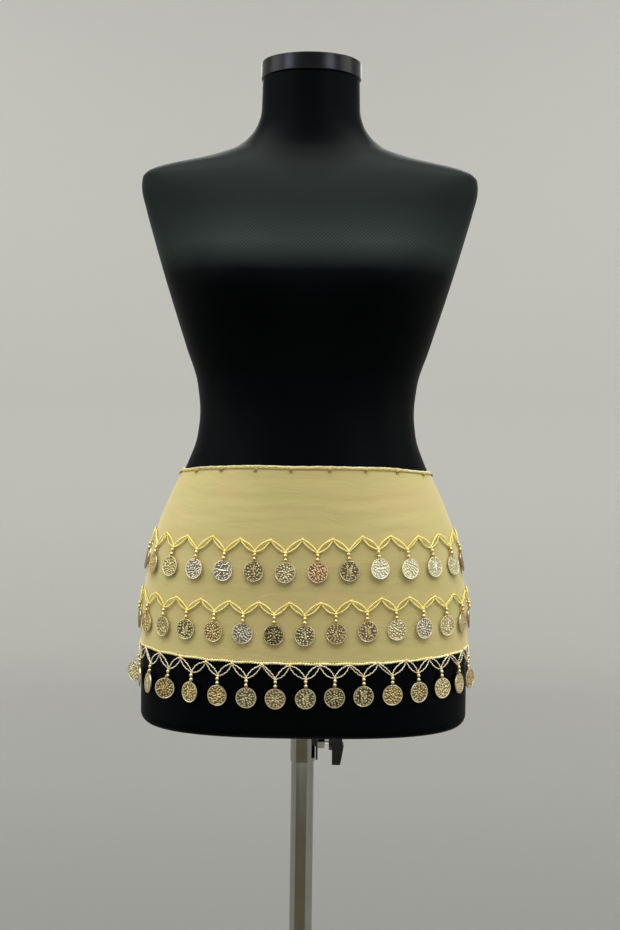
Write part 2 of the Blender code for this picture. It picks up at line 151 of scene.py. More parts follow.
# the form's own shape, which every cloth and bead follows:
# height, half width, front depth, back depth, squareness of the section
formRows = np.array((
    (0.8262, 0.1694, 0.1112, 0.1110, 2.70),
    (0.8600, 0.1699, 0.1132, 0.1150, 2.42),
    (0.9000, 0.1697, 0.1140, 0.1195, 2.24),
    (0.9400, 0.1683, 0.1120, 0.1220, 2.20),
    (0.9800, 0.1632, 0.1085, 0.1180, 2.20),
    (1.0240, 0.1530, 0.1030, 0.1065, 2.20),
    (1.0620, 0.1379, 0.0965, 0.0940, 2.15),
    (1.0960, 0.1220, 0.0900, 0.0850, 2.15),
    (1.1200, 0.1139, 0.0865, 0.0815, 2.15),
    (1.1450, 0.1114, 0.0850, 0.0805, 2.15),
    (1.1750, 0.1144, 0.0870, 0.0825, 2.20),
    (1.2110, 0.1258, 0.0940, 0.0870, 2.35),
    (1.2750, 0.1456, 0.1085, 0.0957, 2.75),
    (1.3000, 0.1530, 0.1042, 0.0995, 2.95),
    (1.3250, 0.1602, 0.0966, 0.1015, 3.15),
    (1.3500, 0.1672, 0.0882, 0.0990, 3.30),
    (1.3740, 0.1724, 0.0788, 0.0880, 3.45),
    (1.3830, 0.1718, 0.0742, 0.0815, 3.40),
    (1.3885, 0.1682, 0.0708, 0.0762, 3.25),
    (1.3930, 0.1600, 0.0677, 0.0716, 3.05),
    (1.3975, 0.1445, 0.0645, 0.0676, 2.85),
    (1.4030, 0.1205, 0.0608, 0.0636, 2.60),
    (1.4095, 0.0975, 0.0572, 0.0600, 2.40),
    (1.4160, 0.0800, 0.0548, 0.0570, 2.25),
    (1.4270, 0.0650, 0.0528, 0.0541, 2.12),
    (1.4400, 0.0558, 0.0516, 0.0523, 2.03),
    (1.4560, 0.0511, 0.0507, 0.0509, 2.00),
    (1.4880, 0.0502, 0.0502, 0.0502, 2.00),
))
bust = {"rise": 0.011, "apart": 0.084, "height": 1.276, "wide": 0.053, "tall": 0.040}
rowGaps = np.diff(formRows[:, 0])


def curveSlopes(values):
    # slopes of a smooth curve through the rows that never overshoots them
    rises = np.diff(values) / rowGaps
    slopes = np.concatenate((rises[:1], np.zeros(len(rises) - 1), rises[-1:]))
    for i in range(1, len(rises)):
        if rises[i - 1] * rises[i] > 0:
            near = 2 * rowGaps[i] + rowGaps[i - 1]
            far = rowGaps[i] + 2 * rowGaps[i - 1]
            slopes[i] = (near + far) / (near / rises[i - 1] + far / rises[i])
    return slopes


formSlopes = np.column_stack([curveSlopes(formRows[:, column]) for column in range(5)])


def formSection(heights):
    heights = np.clip(heights, formRows[0, 0], formRows[-1, 0])
    index = np.clip(np.searchsorted(formRows[:, 0], heights, side="right") - 1, 0, len(rowGaps) - 1)
    gap = rowGaps[index][..., None]
    t = (heights[..., None] - formRows[index, :1]) / gap
    values = formRows[index] * (2 * t**3 - 3 * t**2 + 1) + formRows[index + 1] * (3 * t**2 - 2 * t**3)
    bend = formSlopes[index] * (t**3 - 2 * t**2 + t) + formSlopes[index + 1] * (t**3 - t**2)
    return np.moveaxis(values + gap * bend, -1, 0)[1:]


def formPoints(angles, heights, out=0.0):
    # points on the form or moved out from it; the angle is 0 in front and grows to the right
    angles, heights, out = np.broadcast_arrays(np.asarray(angles, float), heights, out)
    turn = np.radians(angles)
    across, along = np.sin(turn), -np.cos(turn)
    halfWidth, front, back, power = formSection(heights)
    depth = np.where(along < 0, front, back)
    reach = (abs(across / halfWidth) ** power + abs(along / depth) ** power) ** (-1 / power)
    x, y = reach * across, reach * along
    normalX = np.copysign(abs(x) ** (power - 1) / halfWidth**power, x)
    normalY = np.copysign(abs(y) ** (power - 1) / depth**power, y)
    size = np.hypot(normalX, normalY)
    lobes = 0.0
    for side in (-1, 1):
        sideways = (x - side * bust["apart"]) / bust["wide"]
        lobes = lobes + np.exp(-(sideways**2) - ((heights - bust["height"]) / bust["tall"]) ** 2)
    y = y + np.where(along < 0, along, 0.0) * bust["rise"] * lobes
    return np.stack((x + normalX / size * out, y + normalY / size * out, heights), -1)


# the inner end of the scarf starts behind, and the outer end lies over it
wrap = {
    "off": 0.0009,         # from the form to the cloth
    "wall": 0.0010,        # the room that the cloth has
    "layerStep": 0.0015,   # by which the outer end lies further out
    "stepAngles": (150, 162),
    "crossing": 12,        # degrees that each end runs past the centre of the back
    "topDip": 0.0100,      # the top edge is this much lower at the sides and behind
    "topSlack": 0.0024,    # and this much lower across the front, where it sags
    "hemLift": 0.0035,     # the hem is this much higher at the sides
}
wrapLow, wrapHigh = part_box("scarf_wrap")
hemHeight, topFront = wrapLow[2], wrapHigh[2]
endAngle = 180 + wrap["crossing"]


def topEdge(angles):
    towardsFront = np.maximum(0.0, np.cos(np.radians(angles)))
    return topFront - wrap["topSlack"] - (wrap["topDip"] - wrap["topSlack"]) * (1 - towardsFront**2) ** 3


def hemEdge(angles):
    return hemHeight + wrap["hemLift"] * np.sin(np.radians(angles)) ** 4


def clothFace(angles):
    # from the form to the cloth's outer face
    outerEnd = smooth(np.asarray(angles, float), *wrap["stepAngles"])
    return wrap["off"] + wrap["wall"] + wrap["layerStep"] * outerEnd


def roundTheCloth(height):
    # two functions that turn a distance round the cloth from the front into an angle, and back
    angles = np.linspace(-endAngle, endAngle, 1537)
    run = runAlong(formPoints(angles, np.full_like(angles, height), clothFace(angles)))
    run -= np.interp(0.0, angles, run)

    def toAngle(distance):
        return np.interp(distance, run, angles)

    def toRun(angle):
        return np.interp(angle, angles, run)

    return toAngle, toRun


class Heap:
    # gathers many small shapes into one mesh, with a few named values at their points
    def __init__(self):
        self.points, self.faces, self.values, self.count = [], [], {}, 0

    def add(self, points, faces, **values):
        points = np.asarray(points, float).reshape(-1, 3)
        self.points.append(points)
        if isinstance(faces, list):  # may hold caps with many corners
            self.faces.extend([index + self.count for index in face] for face in faces)
        else:
            self.faces.extend((faces + self.count).tolist())
        self.count += len(points)
        for name, value in values.items():
            value = np.asarray(value, float)
            shape = (len(points), 3) if value.shape[-1:] == (3,) else (len(points),)
            self.values.setdefault(name, []).append(np.broadcast_to(value, shape))

    def make(self, name, material, body, slotName=None, nodes=(), sharp=None):
        # one piece of all that was gathered; edges over so many degrees may stay sharp
        points = np.concatenate(self.points)
        mesh = bpy.data.meshes.new(name)
        mesh.from_pydata(points.tolist(), [], self.faces)
        for valueName, parts in self.values.items():
            values = np.concatenate(parts).astype(np.float32)
            kind, key = ("FLOAT_VECTOR", "vector") if values.ndim == 2 else ("FLOAT", "value")
            mesh.attributes.new(valueName, kind, "POINT").data.foreach_set(key, values.ravel())
        mesh.shade_smooth()
        if sharp:
            mesh.set_sharp_from_angle(angle=math.radians(sharp))
        mesh.materials.append(material)
        piece = bpy.data.objects.new(name, mesh)
        bpy.context.scene.collection.objects.link(piece)
        if body:
            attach(piece, body)
        if nodes:
            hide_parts(*nodes)
        return piece


def gridFaces(rows, columns, closed=False, flip=False, first=0):
    # quads over a grid of points; closed joins the last column to the first
    wide = columns if closed else columns - 1
    r, c = np.meshgrid(np.arange(rows - 1), np.arange(wide), indexing="ij")
    a = r * columns + c
    b = r * columns + (c + 1) % columns
    quads = np.stack((a, b, b + columns, a + columns), -1).reshape(-1, 4) + first
    return quads[:, ::-1] if flip else quads


def shellFaces(rows, columns):
    # a closed thin shell: the inner grid's points come first, then the outer grid's
    count = rows * columns
    faces = [gridFaces(rows, columns, flip=True), gridFaces(rows, columns, first=count)]
    index = np.arange(count).reshape(rows, columns)
    for line, flip in ((index[0], False), (index[-1], True), (index[:, 0], True), (index[:, -1], False)):
        strip = np.stack((line[:-1], line[1:], line[1:] + count, line[:-1] + count), -1)
        faces.append(strip[:, ::-1] if flip else strip)
    return np.concatenate(faces)


def ball(columns, rows):
    # a unit ball as points and triangles or quads, with single points at its poles
    down = np.linspace(0, math.pi, rows + 1)[1:-1, None]
    turn = np.linspace(0, math.tau, columns, endpoint=False)[None, :]
    ring = np.stack((np.sin(down) * np.cos(turn), np.sin(down) * np.sin(turn),
                     np.cos(down) * np.ones_like(turn)), -1).reshape(-1, 3)
    points = np.concatenate((ring, ((0, 0, 1), (0, 0, -1))))
    quads = gridFaces(rows - 1, columns, closed=True, flip=True)
    near = np.arange(columns)
    far = near + (rows - 2) * columns
    north = np.stack((near, (near + 1) % columns, np.full(columns, len(ring))), -1)
    south = np.stack((np.roll(far, -1), far, np.full(columns, len(ring) + 1)), -1)
    triangles = np.concatenate((quads[:, (0, 1, 2)], quads[:, (0, 2, 3)], north, south))
    return points, triangles


def copies(shape, centres, sizes):
    # many copies of one shape, each at its own place and size
    points, faces = shape
    centres, sizes = np.asarray(centres, float), np.broadcast_to(sizes, (len(centres),))
    allPoints = centres[:, None, :] + points[None] * sizes[:, None, None]
    allFaces = faces[None] + (np.arange(len(centres)) * len(points))[:, None, None]
    return allPoints.reshape(-1, 3), allFaces.reshape(-1, faces.shape[1])


def tube(path, radius, sides=6, closed=False):
    # a round thread along a path of points; the radius may change from point to point
    path = np.asarray(path, float)
    ahead = np.roll(path, -1, 0) - np.roll(path, 1, 0)
    if not closed:
        ahead[0], ahead[-1] = path[1] - path[0], path[-1] - path[-2]
    ahead /= np.linalg.norm(ahead, axis=1)[:, None]
    side = np.cross(ahead[0], (0.3, 0.2, 0.93))
    sideways = np.empty_like(path)
    for i, direction in enumerate(ahead):
        side = side - direction * np.dot(side, direction)
        side /= np.linalg.norm(side)
        sideways[i] = side
    upward = np.cross(ahead, sideways)
    turn = np.linspace(0, math.tau, sides, endpoint=False)[None, :, None]
    radius = np.broadcast_to(radius, (len(path),))[:, None, None]
    rings = path[:, None] + radius * (np.cos(turn) * sideways[:, None] + np.sin(turn) * upward[:, None])
    faces = gridFaces(len(path), sides, closed=True)
    if closed:
        last = gridFaces(2, sides, closed=True)
        last = np.where(last >= sides, last - sides, last + (len(path) - 1) * sides)
        return rings.reshape(-1, 3), np.concatenate((faces, last)).tolist()
    ends = [list(range(sides))[::-1], list(range((len(path) - 1) * sides, len(path) * sides))]
    return rings.reshape(-1, 3), faces.tolist() + ends


tiny = 0.0002  # the radius at which a turned body closes at its axis


def turned(outline, columns=96):
    # a body turned about Z from (radius, height) points, run up its outer side
    outline = np.asarray(outline, float)
    turn = np.linspace(0, math.tau, columns, endpoint=False)
    points = np.stack((outline[:, :1] * np.cos(turn), outline[:, :1] * np.sin(turn),
                       outline[:, 1:] * np.ones_like(turn)), -1)
    return points.reshape(-1, 3), gridFaces(len(outline), columns, closed=True)


def arc(radius, angles, height):
    # points on a level arc; the angle is 0 in front
    turn = np.radians(angles)
    return np.stack((radius * np.sin(turn), -radius * np.cos(turn), np.full_like(turn, height)), -1)


def rounded(outline, radius, steps=4):
    # the same outline with each inner corner made an arc
    outline = [Vector(point) for point in outline]
    made = [outline[0]]
    for before, corner, after in zip(outline, outline[1:], outline[2:]):
        reach = min(radius, (before - corner).length / 2.1, (after - corner).length / 2.1)
        start = corner + (before - corner).normalized() * reach
        end = corner + (after - corner).normalized() * reach
        for step in range(steps + 1):
            t = step / steps
            made.append(start.lerp(corner, t).lerp(corner.lerp(end, t), t))
    return [tuple(point) for point in made + [outline[-1]]]


print("helpers ready")


camera = {"place": (0.0038, -1.420, 1.150), "down": 2.4, "roll": 0.75, "lens": 52.53}  # metres, degrees, mm


def makeCamera():
    data = bpy.data.cameras.new("camera")
    data.lens, data.sensor_width = camera["lens"], 36.0
    item = bpy.data.objects.new("camera", data)
    bpy.context.scene.collection.objects.link(item)
    item.location = camera["place"]
    item.rotation_mode = "QUATERNION"
    aim = Quaternion((1, 0, 0), math.radians(90 - camera["down"]))
    item.rotation_quaternion = aim @ Quaternion((0, 0, 1), math.radians(camera["roll"]))
    bpy.context.scene.camera = item


makeCamera()
print("camera placed")


jersey = {
    "tone": (0.0005, 0.0008, 0.0012),
    # the grey of the painted light on the chest and shoulders
    "paintedChestLight": (0.0216, 0.0290, 0.0272),
    "ribPitch": 0.0026,
    "ribs": (-0.71, 0.0, 0.71),  # the direction across the ribs
    "roughness": 0.42,
    "columns": 168,
    "rowStep": 0.0055,     # at most this far between its rows of points
    "lowerEdge": 0.0090,   # the radius of its lower edge
    "boreRadius": 0.0143,  # the hollow for the sleeve and pole
    "boreTop": 1.128,
}


def jerseyFinish():
    # close black knit with very fine slanting ribs
    f = Finish("black_jersey")
    where = f.place()
    slant = f.node("ShaderNodeVectorMath", {"operation": "DOT_PRODUCT"},
                   {0: where, 1: jersey["ribs"]}, out=1)
    waver = f.noise(where, 60, 2)
    ribs = (slant * (math.tau / jersey["ribPitch"]) + waver * 2.5).sine()
    fluff = f.noise(where, 1400, 2, 0.6)
    soft = f.noise(where, 7, 2)
    # painted light: the shoulders and the upper slope of the bust are made greyer where the overhead light
    # falls on them, but not the neck
    height = f.node("ShaderNodeSeparateXYZ", {}, {0: where}, out=2) + soft * 0.010
    front = (f.node("ShaderNodeSeparateXYZ", {}, {0: where}, out=1) * -40).clamped()
    flat = f.stretch(where, (1.0, 1.0, 0.0))
    reach = f.node("ShaderNodeVectorMath", {"operation": "LENGTH"}, {0: flat}, out=1)
    slope = (27.1 - height * 20).clamped() * front
    high = (height * 14 - 19.2).clamped()
    paintedChestLight = (height * 34 - 43.76 + (reach * 16 - 2.3).clamped()).clamped() * (reach * 40 - 2.24).clamped()
    paintedChestLight = paintedChestLight * (slope * 0.40 + 0.32 - high * 0.25)
    tone = f.mix(paintedChestLight, rgb(*jersey["tone"]), rgb(*jersey["paintedChestLight"]))
    colour = f.mix((ribs * 0.36 + fluff * 0.5 + 0.12).clamped(), tone, rgb(2.1, 2.1, 2.1), "MULTIPLY")
    normal = f.bump(ribs * 0.3 + fluff * 0.7, 0.16, 0.0002)
    return f.surface(Base_Color=colour, Roughness=soft * 0.10 + jersey["roughness"], Normal=normal,
                     Specular_IOR_Level=0.03, Sheen_Weight=0.003, Sheen_Roughness=0.4,
                     Sheen_Tint=rgb(0.75, 0.85, 0.85))


def makeTorso():
    # one closed skin: bore, flat underside, rounded lower edge, body, shoulders, neck
    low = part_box("form_torso")[0]
    edge, count = jersey["lowerEdge"], jersey["columns"]
    heights = [low.z + edge * (1 - math.cos(math.radians(15 * step))) for step in range(7)]
    for start, end in zip(formRows[:-1, 0], formRows[1:, 0]):
        steps = max(3, round((end - start) / jersey["rowStep"]))
        heights += [h for h in np.linspace(start, end, steps + 1)[1:] if h > heights[-1] + 0.0008]
    angles = np.arange(count) * 360 / count
    up = np.minimum(np.array(heights) - low.z, edge)
    inset = edge - np.sqrt(np.maximum(edge**2 - (edge - up) ** 2, 0))
    skin = formPoints(angles[None], np.array(heights)[:, None], -inset[:, None])
    bore = [arc(jersey["boreRadius"], angles, height) for height in (jersey["boreTop"], low.z)]
    points = np.concatenate((np.array(bore), skin)).reshape(-1, 3)
    faces = gridFaces(len(heights) + 2, count, closed=True).tolist()
    faces += [list(range(count))[::-1], list(range(len(points) - count, len(points)))]
    heap = Heap()
    heap.add(points, faces)
    heap.make("torso_jersey", jerseyFinish(), "form", "black_jersey", ["form_torso"], 50)


neckCap = {"tone": (0.0006, 0.0006, 0.002), "haze": (0.002, 0.002, 0.005), "roughness": 0.26,
           "edge": 0.0016}


def makeNeckCap():
    # a black gloss disc with its edges eased
    low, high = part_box("neck_cap")
    f = Finish("cap_gloss")
    haze = f.noise(f.place(), 40, 3)
    material = f.surface(Base_Color=f.mix(haze, rgb(*neckCap["tone"]), rgb(*neckCap["haze"])),
                         Roughness=haze * 0.06 + neckCap["roughness"], Specular_IOR_Level=0.30)
    outline = rounded([(tiny, low.z), (high.x, low.z), (high.x, high.z), (high.x - 0.003, high.z),
                       (tiny, high.z)], neckCap["edge"], 5)
    heap = Heap()
    heap.add(*turned(outline, 128))
    heap.make("cap_of_neck", material, "form", "black_gloss", ["neck_cap"], 40)


makeTorso()
makeNeckCap()
print("dress form made")


cloth = {
    "columns": 420,
    "rows": 76,
    "thick": 0.0005,
    "ease": 0.0002,    # how far it lies inside the room that it has
    "crease": 0.55,    # how much of each crease's depth shows
    "edge": 0.0022,    # how wide its edges take the edging's colour
}

# soft creases in front: degrees round; height, half length, half width and depth in mm; slope in degrees
creases = [
    (-62, 1082, 26, 2.2, -0.30, 4), (-48, 1074, 38, 2.6, 0.32, -3), (-30, 1080, 30, 2.0, -0.26, 2),
    (-12, 1076, 42, 2.4, 0.30, -2), (8, 1081, 34, 2.2, -0.30, 3), (26, 1075, 46, 2.6, 0.34, 4),
    (46, 1079, 30, 2.2, -0.30, 5), (64, 1072, 28, 2.4, 0.30, 7), (-55, 1063, 34, 2.8, -0.34, -5),
    (-34, 1066, 40, 2.4, 0.30, -4), (-8, 1062, 52, 3.0, -0.36, 1), (20, 1065, 40, 2.4, 0.28, -3),
    (42, 1060, 44, 3.0, -0.36, 4), (66, 1058, 26, 2.6, 0.30, 8), (-66, 1052, 24, 2.6, 0.32, -7),
    (-40, 1053, 46, 3.0, 0.36, -3), (-18, 1050, 36, 2.4, -0.30, 3), (6, 1054, 44, 2.6, 0.30, -2),
    (30, 1051, 48, 3.0, 0.34, 3), (54, 1047, 34, 2.6, -0.32, 6), (-52, 1041, 36, 3.0, -0.36, -5),
    (-26, 1043, 48, 2.8, 0.34, 1), (0, 1040, 52, 2.8, -0.34, -2), (24, 1038, 40, 2.6, -0.30, 3),
    (48, 1036, 36, 2.8, 0.34, 5), (-60, 1030, 26, 2.4, 0.28, -6), (-36, 1032, 34, 2.4, -0.26, 2),
    (-10, 1029, 38, 2.4, 0.26, 2), (14, 1031, 40, 2.4, 0.28, -3), (38, 1027, 36, 2.6, -0.28, 4),
    (62, 1025, 24, 2.4, 0.26, 7), (-50, 996, 26, 3.4, 0.26, 8), (-20, 992, 34, 3.0, -0.26, -4),
    (10, 997, 36, 3.2, 0.28, 3), (40, 990, 34, 3.2, -0.28, 6), (-64, 978, 22, 3.0, -0.28, -8),
    (-30, 974, 40, 3.0, 0.30, 3), (4, 972, 44, 2.8, -0.28, -3), (30, 976, 32, 3.0, 0.28, 5),
    (58, 970, 26, 3.0, -0.30, -6), (-44, 940, 30, 3.2, 0.28, -5), (-14, 934, 36, 3.0, -0.26, 4),
    (16, 938, 38, 3.0, 0.28, -2), (46, 932, 30, 3.2, -0.30, 6), (-58, 920, 24, 3.0, -0.32, 12),
    (-24, 916, 34, 2.8, 0.26, -3), (8, 918, 36, 2.8, -0.26, 3), (38, 914, 34, 3.0, 0.30, -5),
    (-76, 912, 9, 2.4, 0.40, 78), (-70, 914, 10, 2.2, -0.38, 84), (-64, 911, 8, 2.2, 0.34, 97),
    (68, 912, 10, 2.4, 0.38, 102), (74, 914, 9, 2.2, -0.38, 96), (80, 912, 9, 2.4, 0.40, 84),
]
# behind they are alike, and a fan of deeper ones runs out from the knot
creases += [(angle + 181, height - 4 + 7 * (index % 3 - 1), length, width, depth, -slope)
            for index, (angle, height, length, width, depth, slope) in enumerate(creases)]
creases += [(angle + shift, height + 5, length * 0.8, width, -depth, slope + 3)
            for shift in (88, 268)
            for angle, height, length, width, depth, slope in creases[:48:3] if abs(angle) < 30]
creases += [(180 + side * turn, height, 22, 2.6, 0.42, side * slope)
            for side in (-1, 1)
            for turn, height, slope in ((10, 1076, 4), (11, 1067, -12), (12, 1057, -24), (10, 1046, -40))]


def creaseDepth(angles, heights):
    # how far the creases lift the cloth or let it in at each point
    depths = np.zeros(np.broadcast(angles, heights).shape)
    for angle, height, length, width, depth, slope in creases:
        length, width, depth = length / 1000, width / 1000, depth / 1000
        along = np.radians((angles - angle + 180) % 360 - 180) * 0.145
        up = heights - height / 1000
        c, s = math.cos(math.radians(slope)), math.sin(math.radians(slope))
        u, v = along * c + up * s, up * c - along * s
        v = v + 0.35 * width * np.sin(u / length * 3.0 + height)
        depths += depth * np.exp(-((u / length) ** 2) - (v / width) ** 2)
    return np.clip(depths * cloth["crease"], -0.0007, 0.0005)


def chiffonFinish():
    # thin crinkled cloth; streaks run with the pull of the wrap
    f = Finish("chiffon")
    run, height = f.attribute("run", 2), f.attribute("height", 2)
    level = f.node("ShaderNodeCombineXYZ", {}, {0: run, 1: height})
    wander = f.noise(f.stretch(level, (11.0, 14.0, 1.0)), 1.0, 2, 0.5)
    flat = f.node("ShaderNodeCombineXYZ", {}, {0: run, 1: height + wander * 0.035})
    streaks = f.noise(f.stretch(flat, (20.0, 120.0, 1.0)), 1.0, 3, 0.55)
    finer = f.noise(f.stretch(flat, (70.0, 340.0, 1.0)), 1.0, 2, 0.5)
    crinkle = f.noise(f.stretch(flat, (900.0, 1500.0, 1.0)), 1.0, 2, 0.6)
    patches = f.noise(f.stretch(flat, (16.0, 22.0, 1.0)), 1.0, 2, 0.5)
    edge, tight = f.attribute("edge", 2), f.attribute("tight", 2)
    base = f.mix((streaks * 2.0 - 0.5).clamped(), rgb(0.450, 0.390, 0.154), rgb(0.490, 0.428, 0.173))
    warm = f.mix((patches * 2.4 - 0.9).clamped(), base, rgb(0.530, 0.400, 0.178))
    cool = f.mix((0.95 - patches * 2.4).clamped(), warm, rgb(0.448, 0.420, 0.158))
    grained = f.mix((crinkle * 0.8 - 0.25).clamped(), cool, rgb(0.58, 0.515, 0.222))
    # darker where the cloth faces front and back: partly the black form showing through, partly painted
    # shade that leaves the sides lighter, as grazing light makes them
    throughAndShaded = f.mix(tight * 0.8, grained, rgb(0.86, 0.85, 0.84), "MULTIPLY")
    # painted light: the cloth below about 0.93 m is made lighter, fading out by 0.96 m
    lower = f.mix((27.0 - height * 28).clamped(), throughAndShaded, rgb(1.09, 1.09, 1.08), "MULTIPLY")
    colour = f.mix((edge * 0.5).clamped(), lower, rgb(0.62, 0.52, 0.20))
    small = f.bump(crinkle, 0.30, 0.0003)
    middle = f.bump(finer, 0.20, 0.0007, small)
    normal = f.bump(streaks, 0.17, 0.0018, middle)
    return f.surface(Base_Color=colour, Roughness=crinkle * 0.1 + 0.62, Normal=normal,
                     Specular_IOR_Level=0.25, Sheen_Weight=0.55, Sheen_Roughness=0.45,
                     Sheen_Tint=rgb(1.0, 0.93, 0.62))


def clothPoints(angles, heights, lift=0.0):
    # on the cloth's outer face, creases and all
    out = clothFace(angles) - cloth["ease"] + creaseDepth(angles, heights) + lift
    return formPoints(angles, heights, out)


def addShell(heap, inner, outer, **values):
    # a closed thin sheet between two grids of points, with its values on both faces
    doubled = {name: np.tile(value.ravel(), 2) for name, value in values.items()}
    points = np.concatenate((inner.reshape(-1, 3), outer.reshape(-1, 3)))
    heap.add(points, shellFaces(*inner.shape[:2]), **doubled)


def makeScarfCloth(material):
    angles = np.linspace(-endAngle, endAngle, cloth["columns"])[None]
    share = np.linspace(0, 1, cloth["rows"])[:, None]
    heights = hemEdge(angles) + (topEdge(angles) - hemEdge(angles)) * share
    angles = np.broadcast_to(angles, heights.shape)
    outer = clothPoints(angles, heights)
    inner = clothPoints(angles, heights, -cloth["thick"])
    steps = np.linalg.norm(np.diff(outer, axis=1), axis=2)
    run = np.concatenate((np.zeros((len(share), 1)), np.cumsum(steps, axis=1)), axis=1)
    run -= run[:, cloth["columns"] // 2][:, None]
    fromEdge = np.minimum(heights - hemEdge(angles), topEdge(angles) - heights)
    heap = Heap()
    # the last value darkens the cloth in front and behind: the black form showing through, and painted
    # shade
    addShell(heap, inner, outer, run=run, height=heights, edge=np.exp(-((fromEdge / cloth["edge"]) ** 2)),
             tight=np.cos(np.radians(angles)) ** 2)
    return heap.make("scarf_cloth", material, "form", "chiffon", ["scarf_wrap"], 60)


chiffon = chiffonFinish()
scarf = makeScarfCloth(chiffon)
print("chiffon wound")


# the three rows from the top down, in metres; "first" is where coin 0 lies, round from the front's centre
rows = {
    "upper": {"pitch": 0.0304, "first": 0.0119, "open": 0.0019, "seed": 0.00092, "longer": 0.0008,
              "rim": 0.30, "clothBehind": True, "rightLift": 0.0028},
    "middle": {"pitch": 0.0300, "first": 0.0012, "open": 0.0019, "seed": 0.00088, "longer": 0.0002,
               "rim": 0.30, "clothBehind": True, "rightLift": 0.0036},
    "hem": {"pitch": 0.0286, "first": 0.0020, "open": 0.0025, "longer": 0.0015,
            "rim": 0.85, "clothBehind": False, "rightLift": 0.0022},
}
hanging = {
    "vee": 0.0119,         # below the row's top: where a loop's strands meet,
    "upperBead": 0.0146,   # and the centres of what hangs from it
    "lowerBead": 0.0186,
    "coin": 0.0311,
    "bead": 0.00195,
    "peakKnot": 0.00125,
    "strandGap": 0.00045,  # half the gap between a loop's two strands where they meet
    "sway": 0.0009,        # how far a peak strays sideways and up or down
    "drop": 0.0007,
    "thread": 0.00035,
    "seedPitch": 0.00138,
    "buglePitch": 0.0022,
    "bugle": (0.00142, 0.00064, 0.00064),
    "ends": (-164.6, 190.2),  # degrees round the cloth
    "evenCoins": 9,        # to each side of the front the pitch is even up to this coin
}

alloys = {
    "gold": (0.820, 0.640, 0.290), "pale": (0.900, 0.780, 0.450), "silver": (0.900, 0.820, 0.620),
    "cream": (0.950, 0.900, 0.620), "olive": (0.760, 0.665, 0.330), "bronze": (0.800, 0.620, 0.320),
    "copper": (0.920, 0.620, 0.340), "dark": (0.620, 0.520, 0.270), "green": (0.800, 0.745, 0.430),
    "brown": (0.560, 0.400, 0.210), "straw": (1.0, 0.900, 0.560), "amber": (1.0, 0.830, 0.470),
}
# for each row the first coin's number; then alloy, darkness of its recesses, motif and turn in degrees
coinChart = {
    "upper": (-7, (
        ("brown", 0.6, "rosette", 4), ("gold", 0.5, "rosette", -4), ("olive", 0.85, "weave", 3),
        ("silver", 0.92, "weave", -5), ("silver", 0.88, "strokes", 2), ("dark", 0.80, "strokes", -3),
        ("pale", 0.8, "rosette", 6), ("copper", 0.85, "weave", -2), ("dark", 0.85, "sprig", 3),
        ("cream", 0.5, "strokes", 9), ("cream", 0.55, "weave", 8), ("cream", 0.75, "sprig", 4),
        ("cream", 0.6, "rosette", -4), ("brown", 0.5, "sprig", 2))),
    "middle": (-7, (
        ("brown", 0.6, "sprig", 2), ("gold", 0.6, "rosette", 5), ("olive", 0.8, "weave", -4),
        ("olive", 0.9, "sprig", 3), ("gold", 0.75, "rosette", -3), ("silver", 0.80, "weave", 5),
        ("dark", 1.0, "rosette", -2), ("pale", 0.92, "strokes", 4), ("bronze", 0.85, "weave", -4),
        ("bronze", 0.80, "sprig", 3), ("pale", 0.45, "strokes", -3), ("silver", 0.8, "rosette", 5),
        ("pale", 0.6, "sprig", -4), ("pale", 0.5, "weave", 3), ("brown", 0.5, "rosette", 0))),
    "hem": (-8, (
        ("green", 0.5, "weave", 40), ("pale", 0.6, "rosette", -6), ("pale", 0.6, "sprig", -12),
        ("gold", 0.90, "rosette", 24), ("gold", 0.88, "sprig", -14), ("gold", 0.80, "weave", -4),
        ("straw", 0.92, "rosette", 3), ("amber", 0.76, "rosette", -3), ("straw", 0.88, "sprig", 4),
        ("pale", 1.0, "rosette", -3), ("pale", 1.0, "sprig", 3), ("gold", 0.78, "weave", -3),
        ("bronze", 0.92, "rosette", 4), ("pale", 0.72, "weave", -5), ("pale", 0.5, "rosette", 4),
        ("gold", 0.5, "sprig", -16))),
}
motifs = ("rosette", "weave", "strokes", "sprig")
plainAlloys = ("gold", "pale", "silver", "olive", "bronze", "copper", "gold", "green")


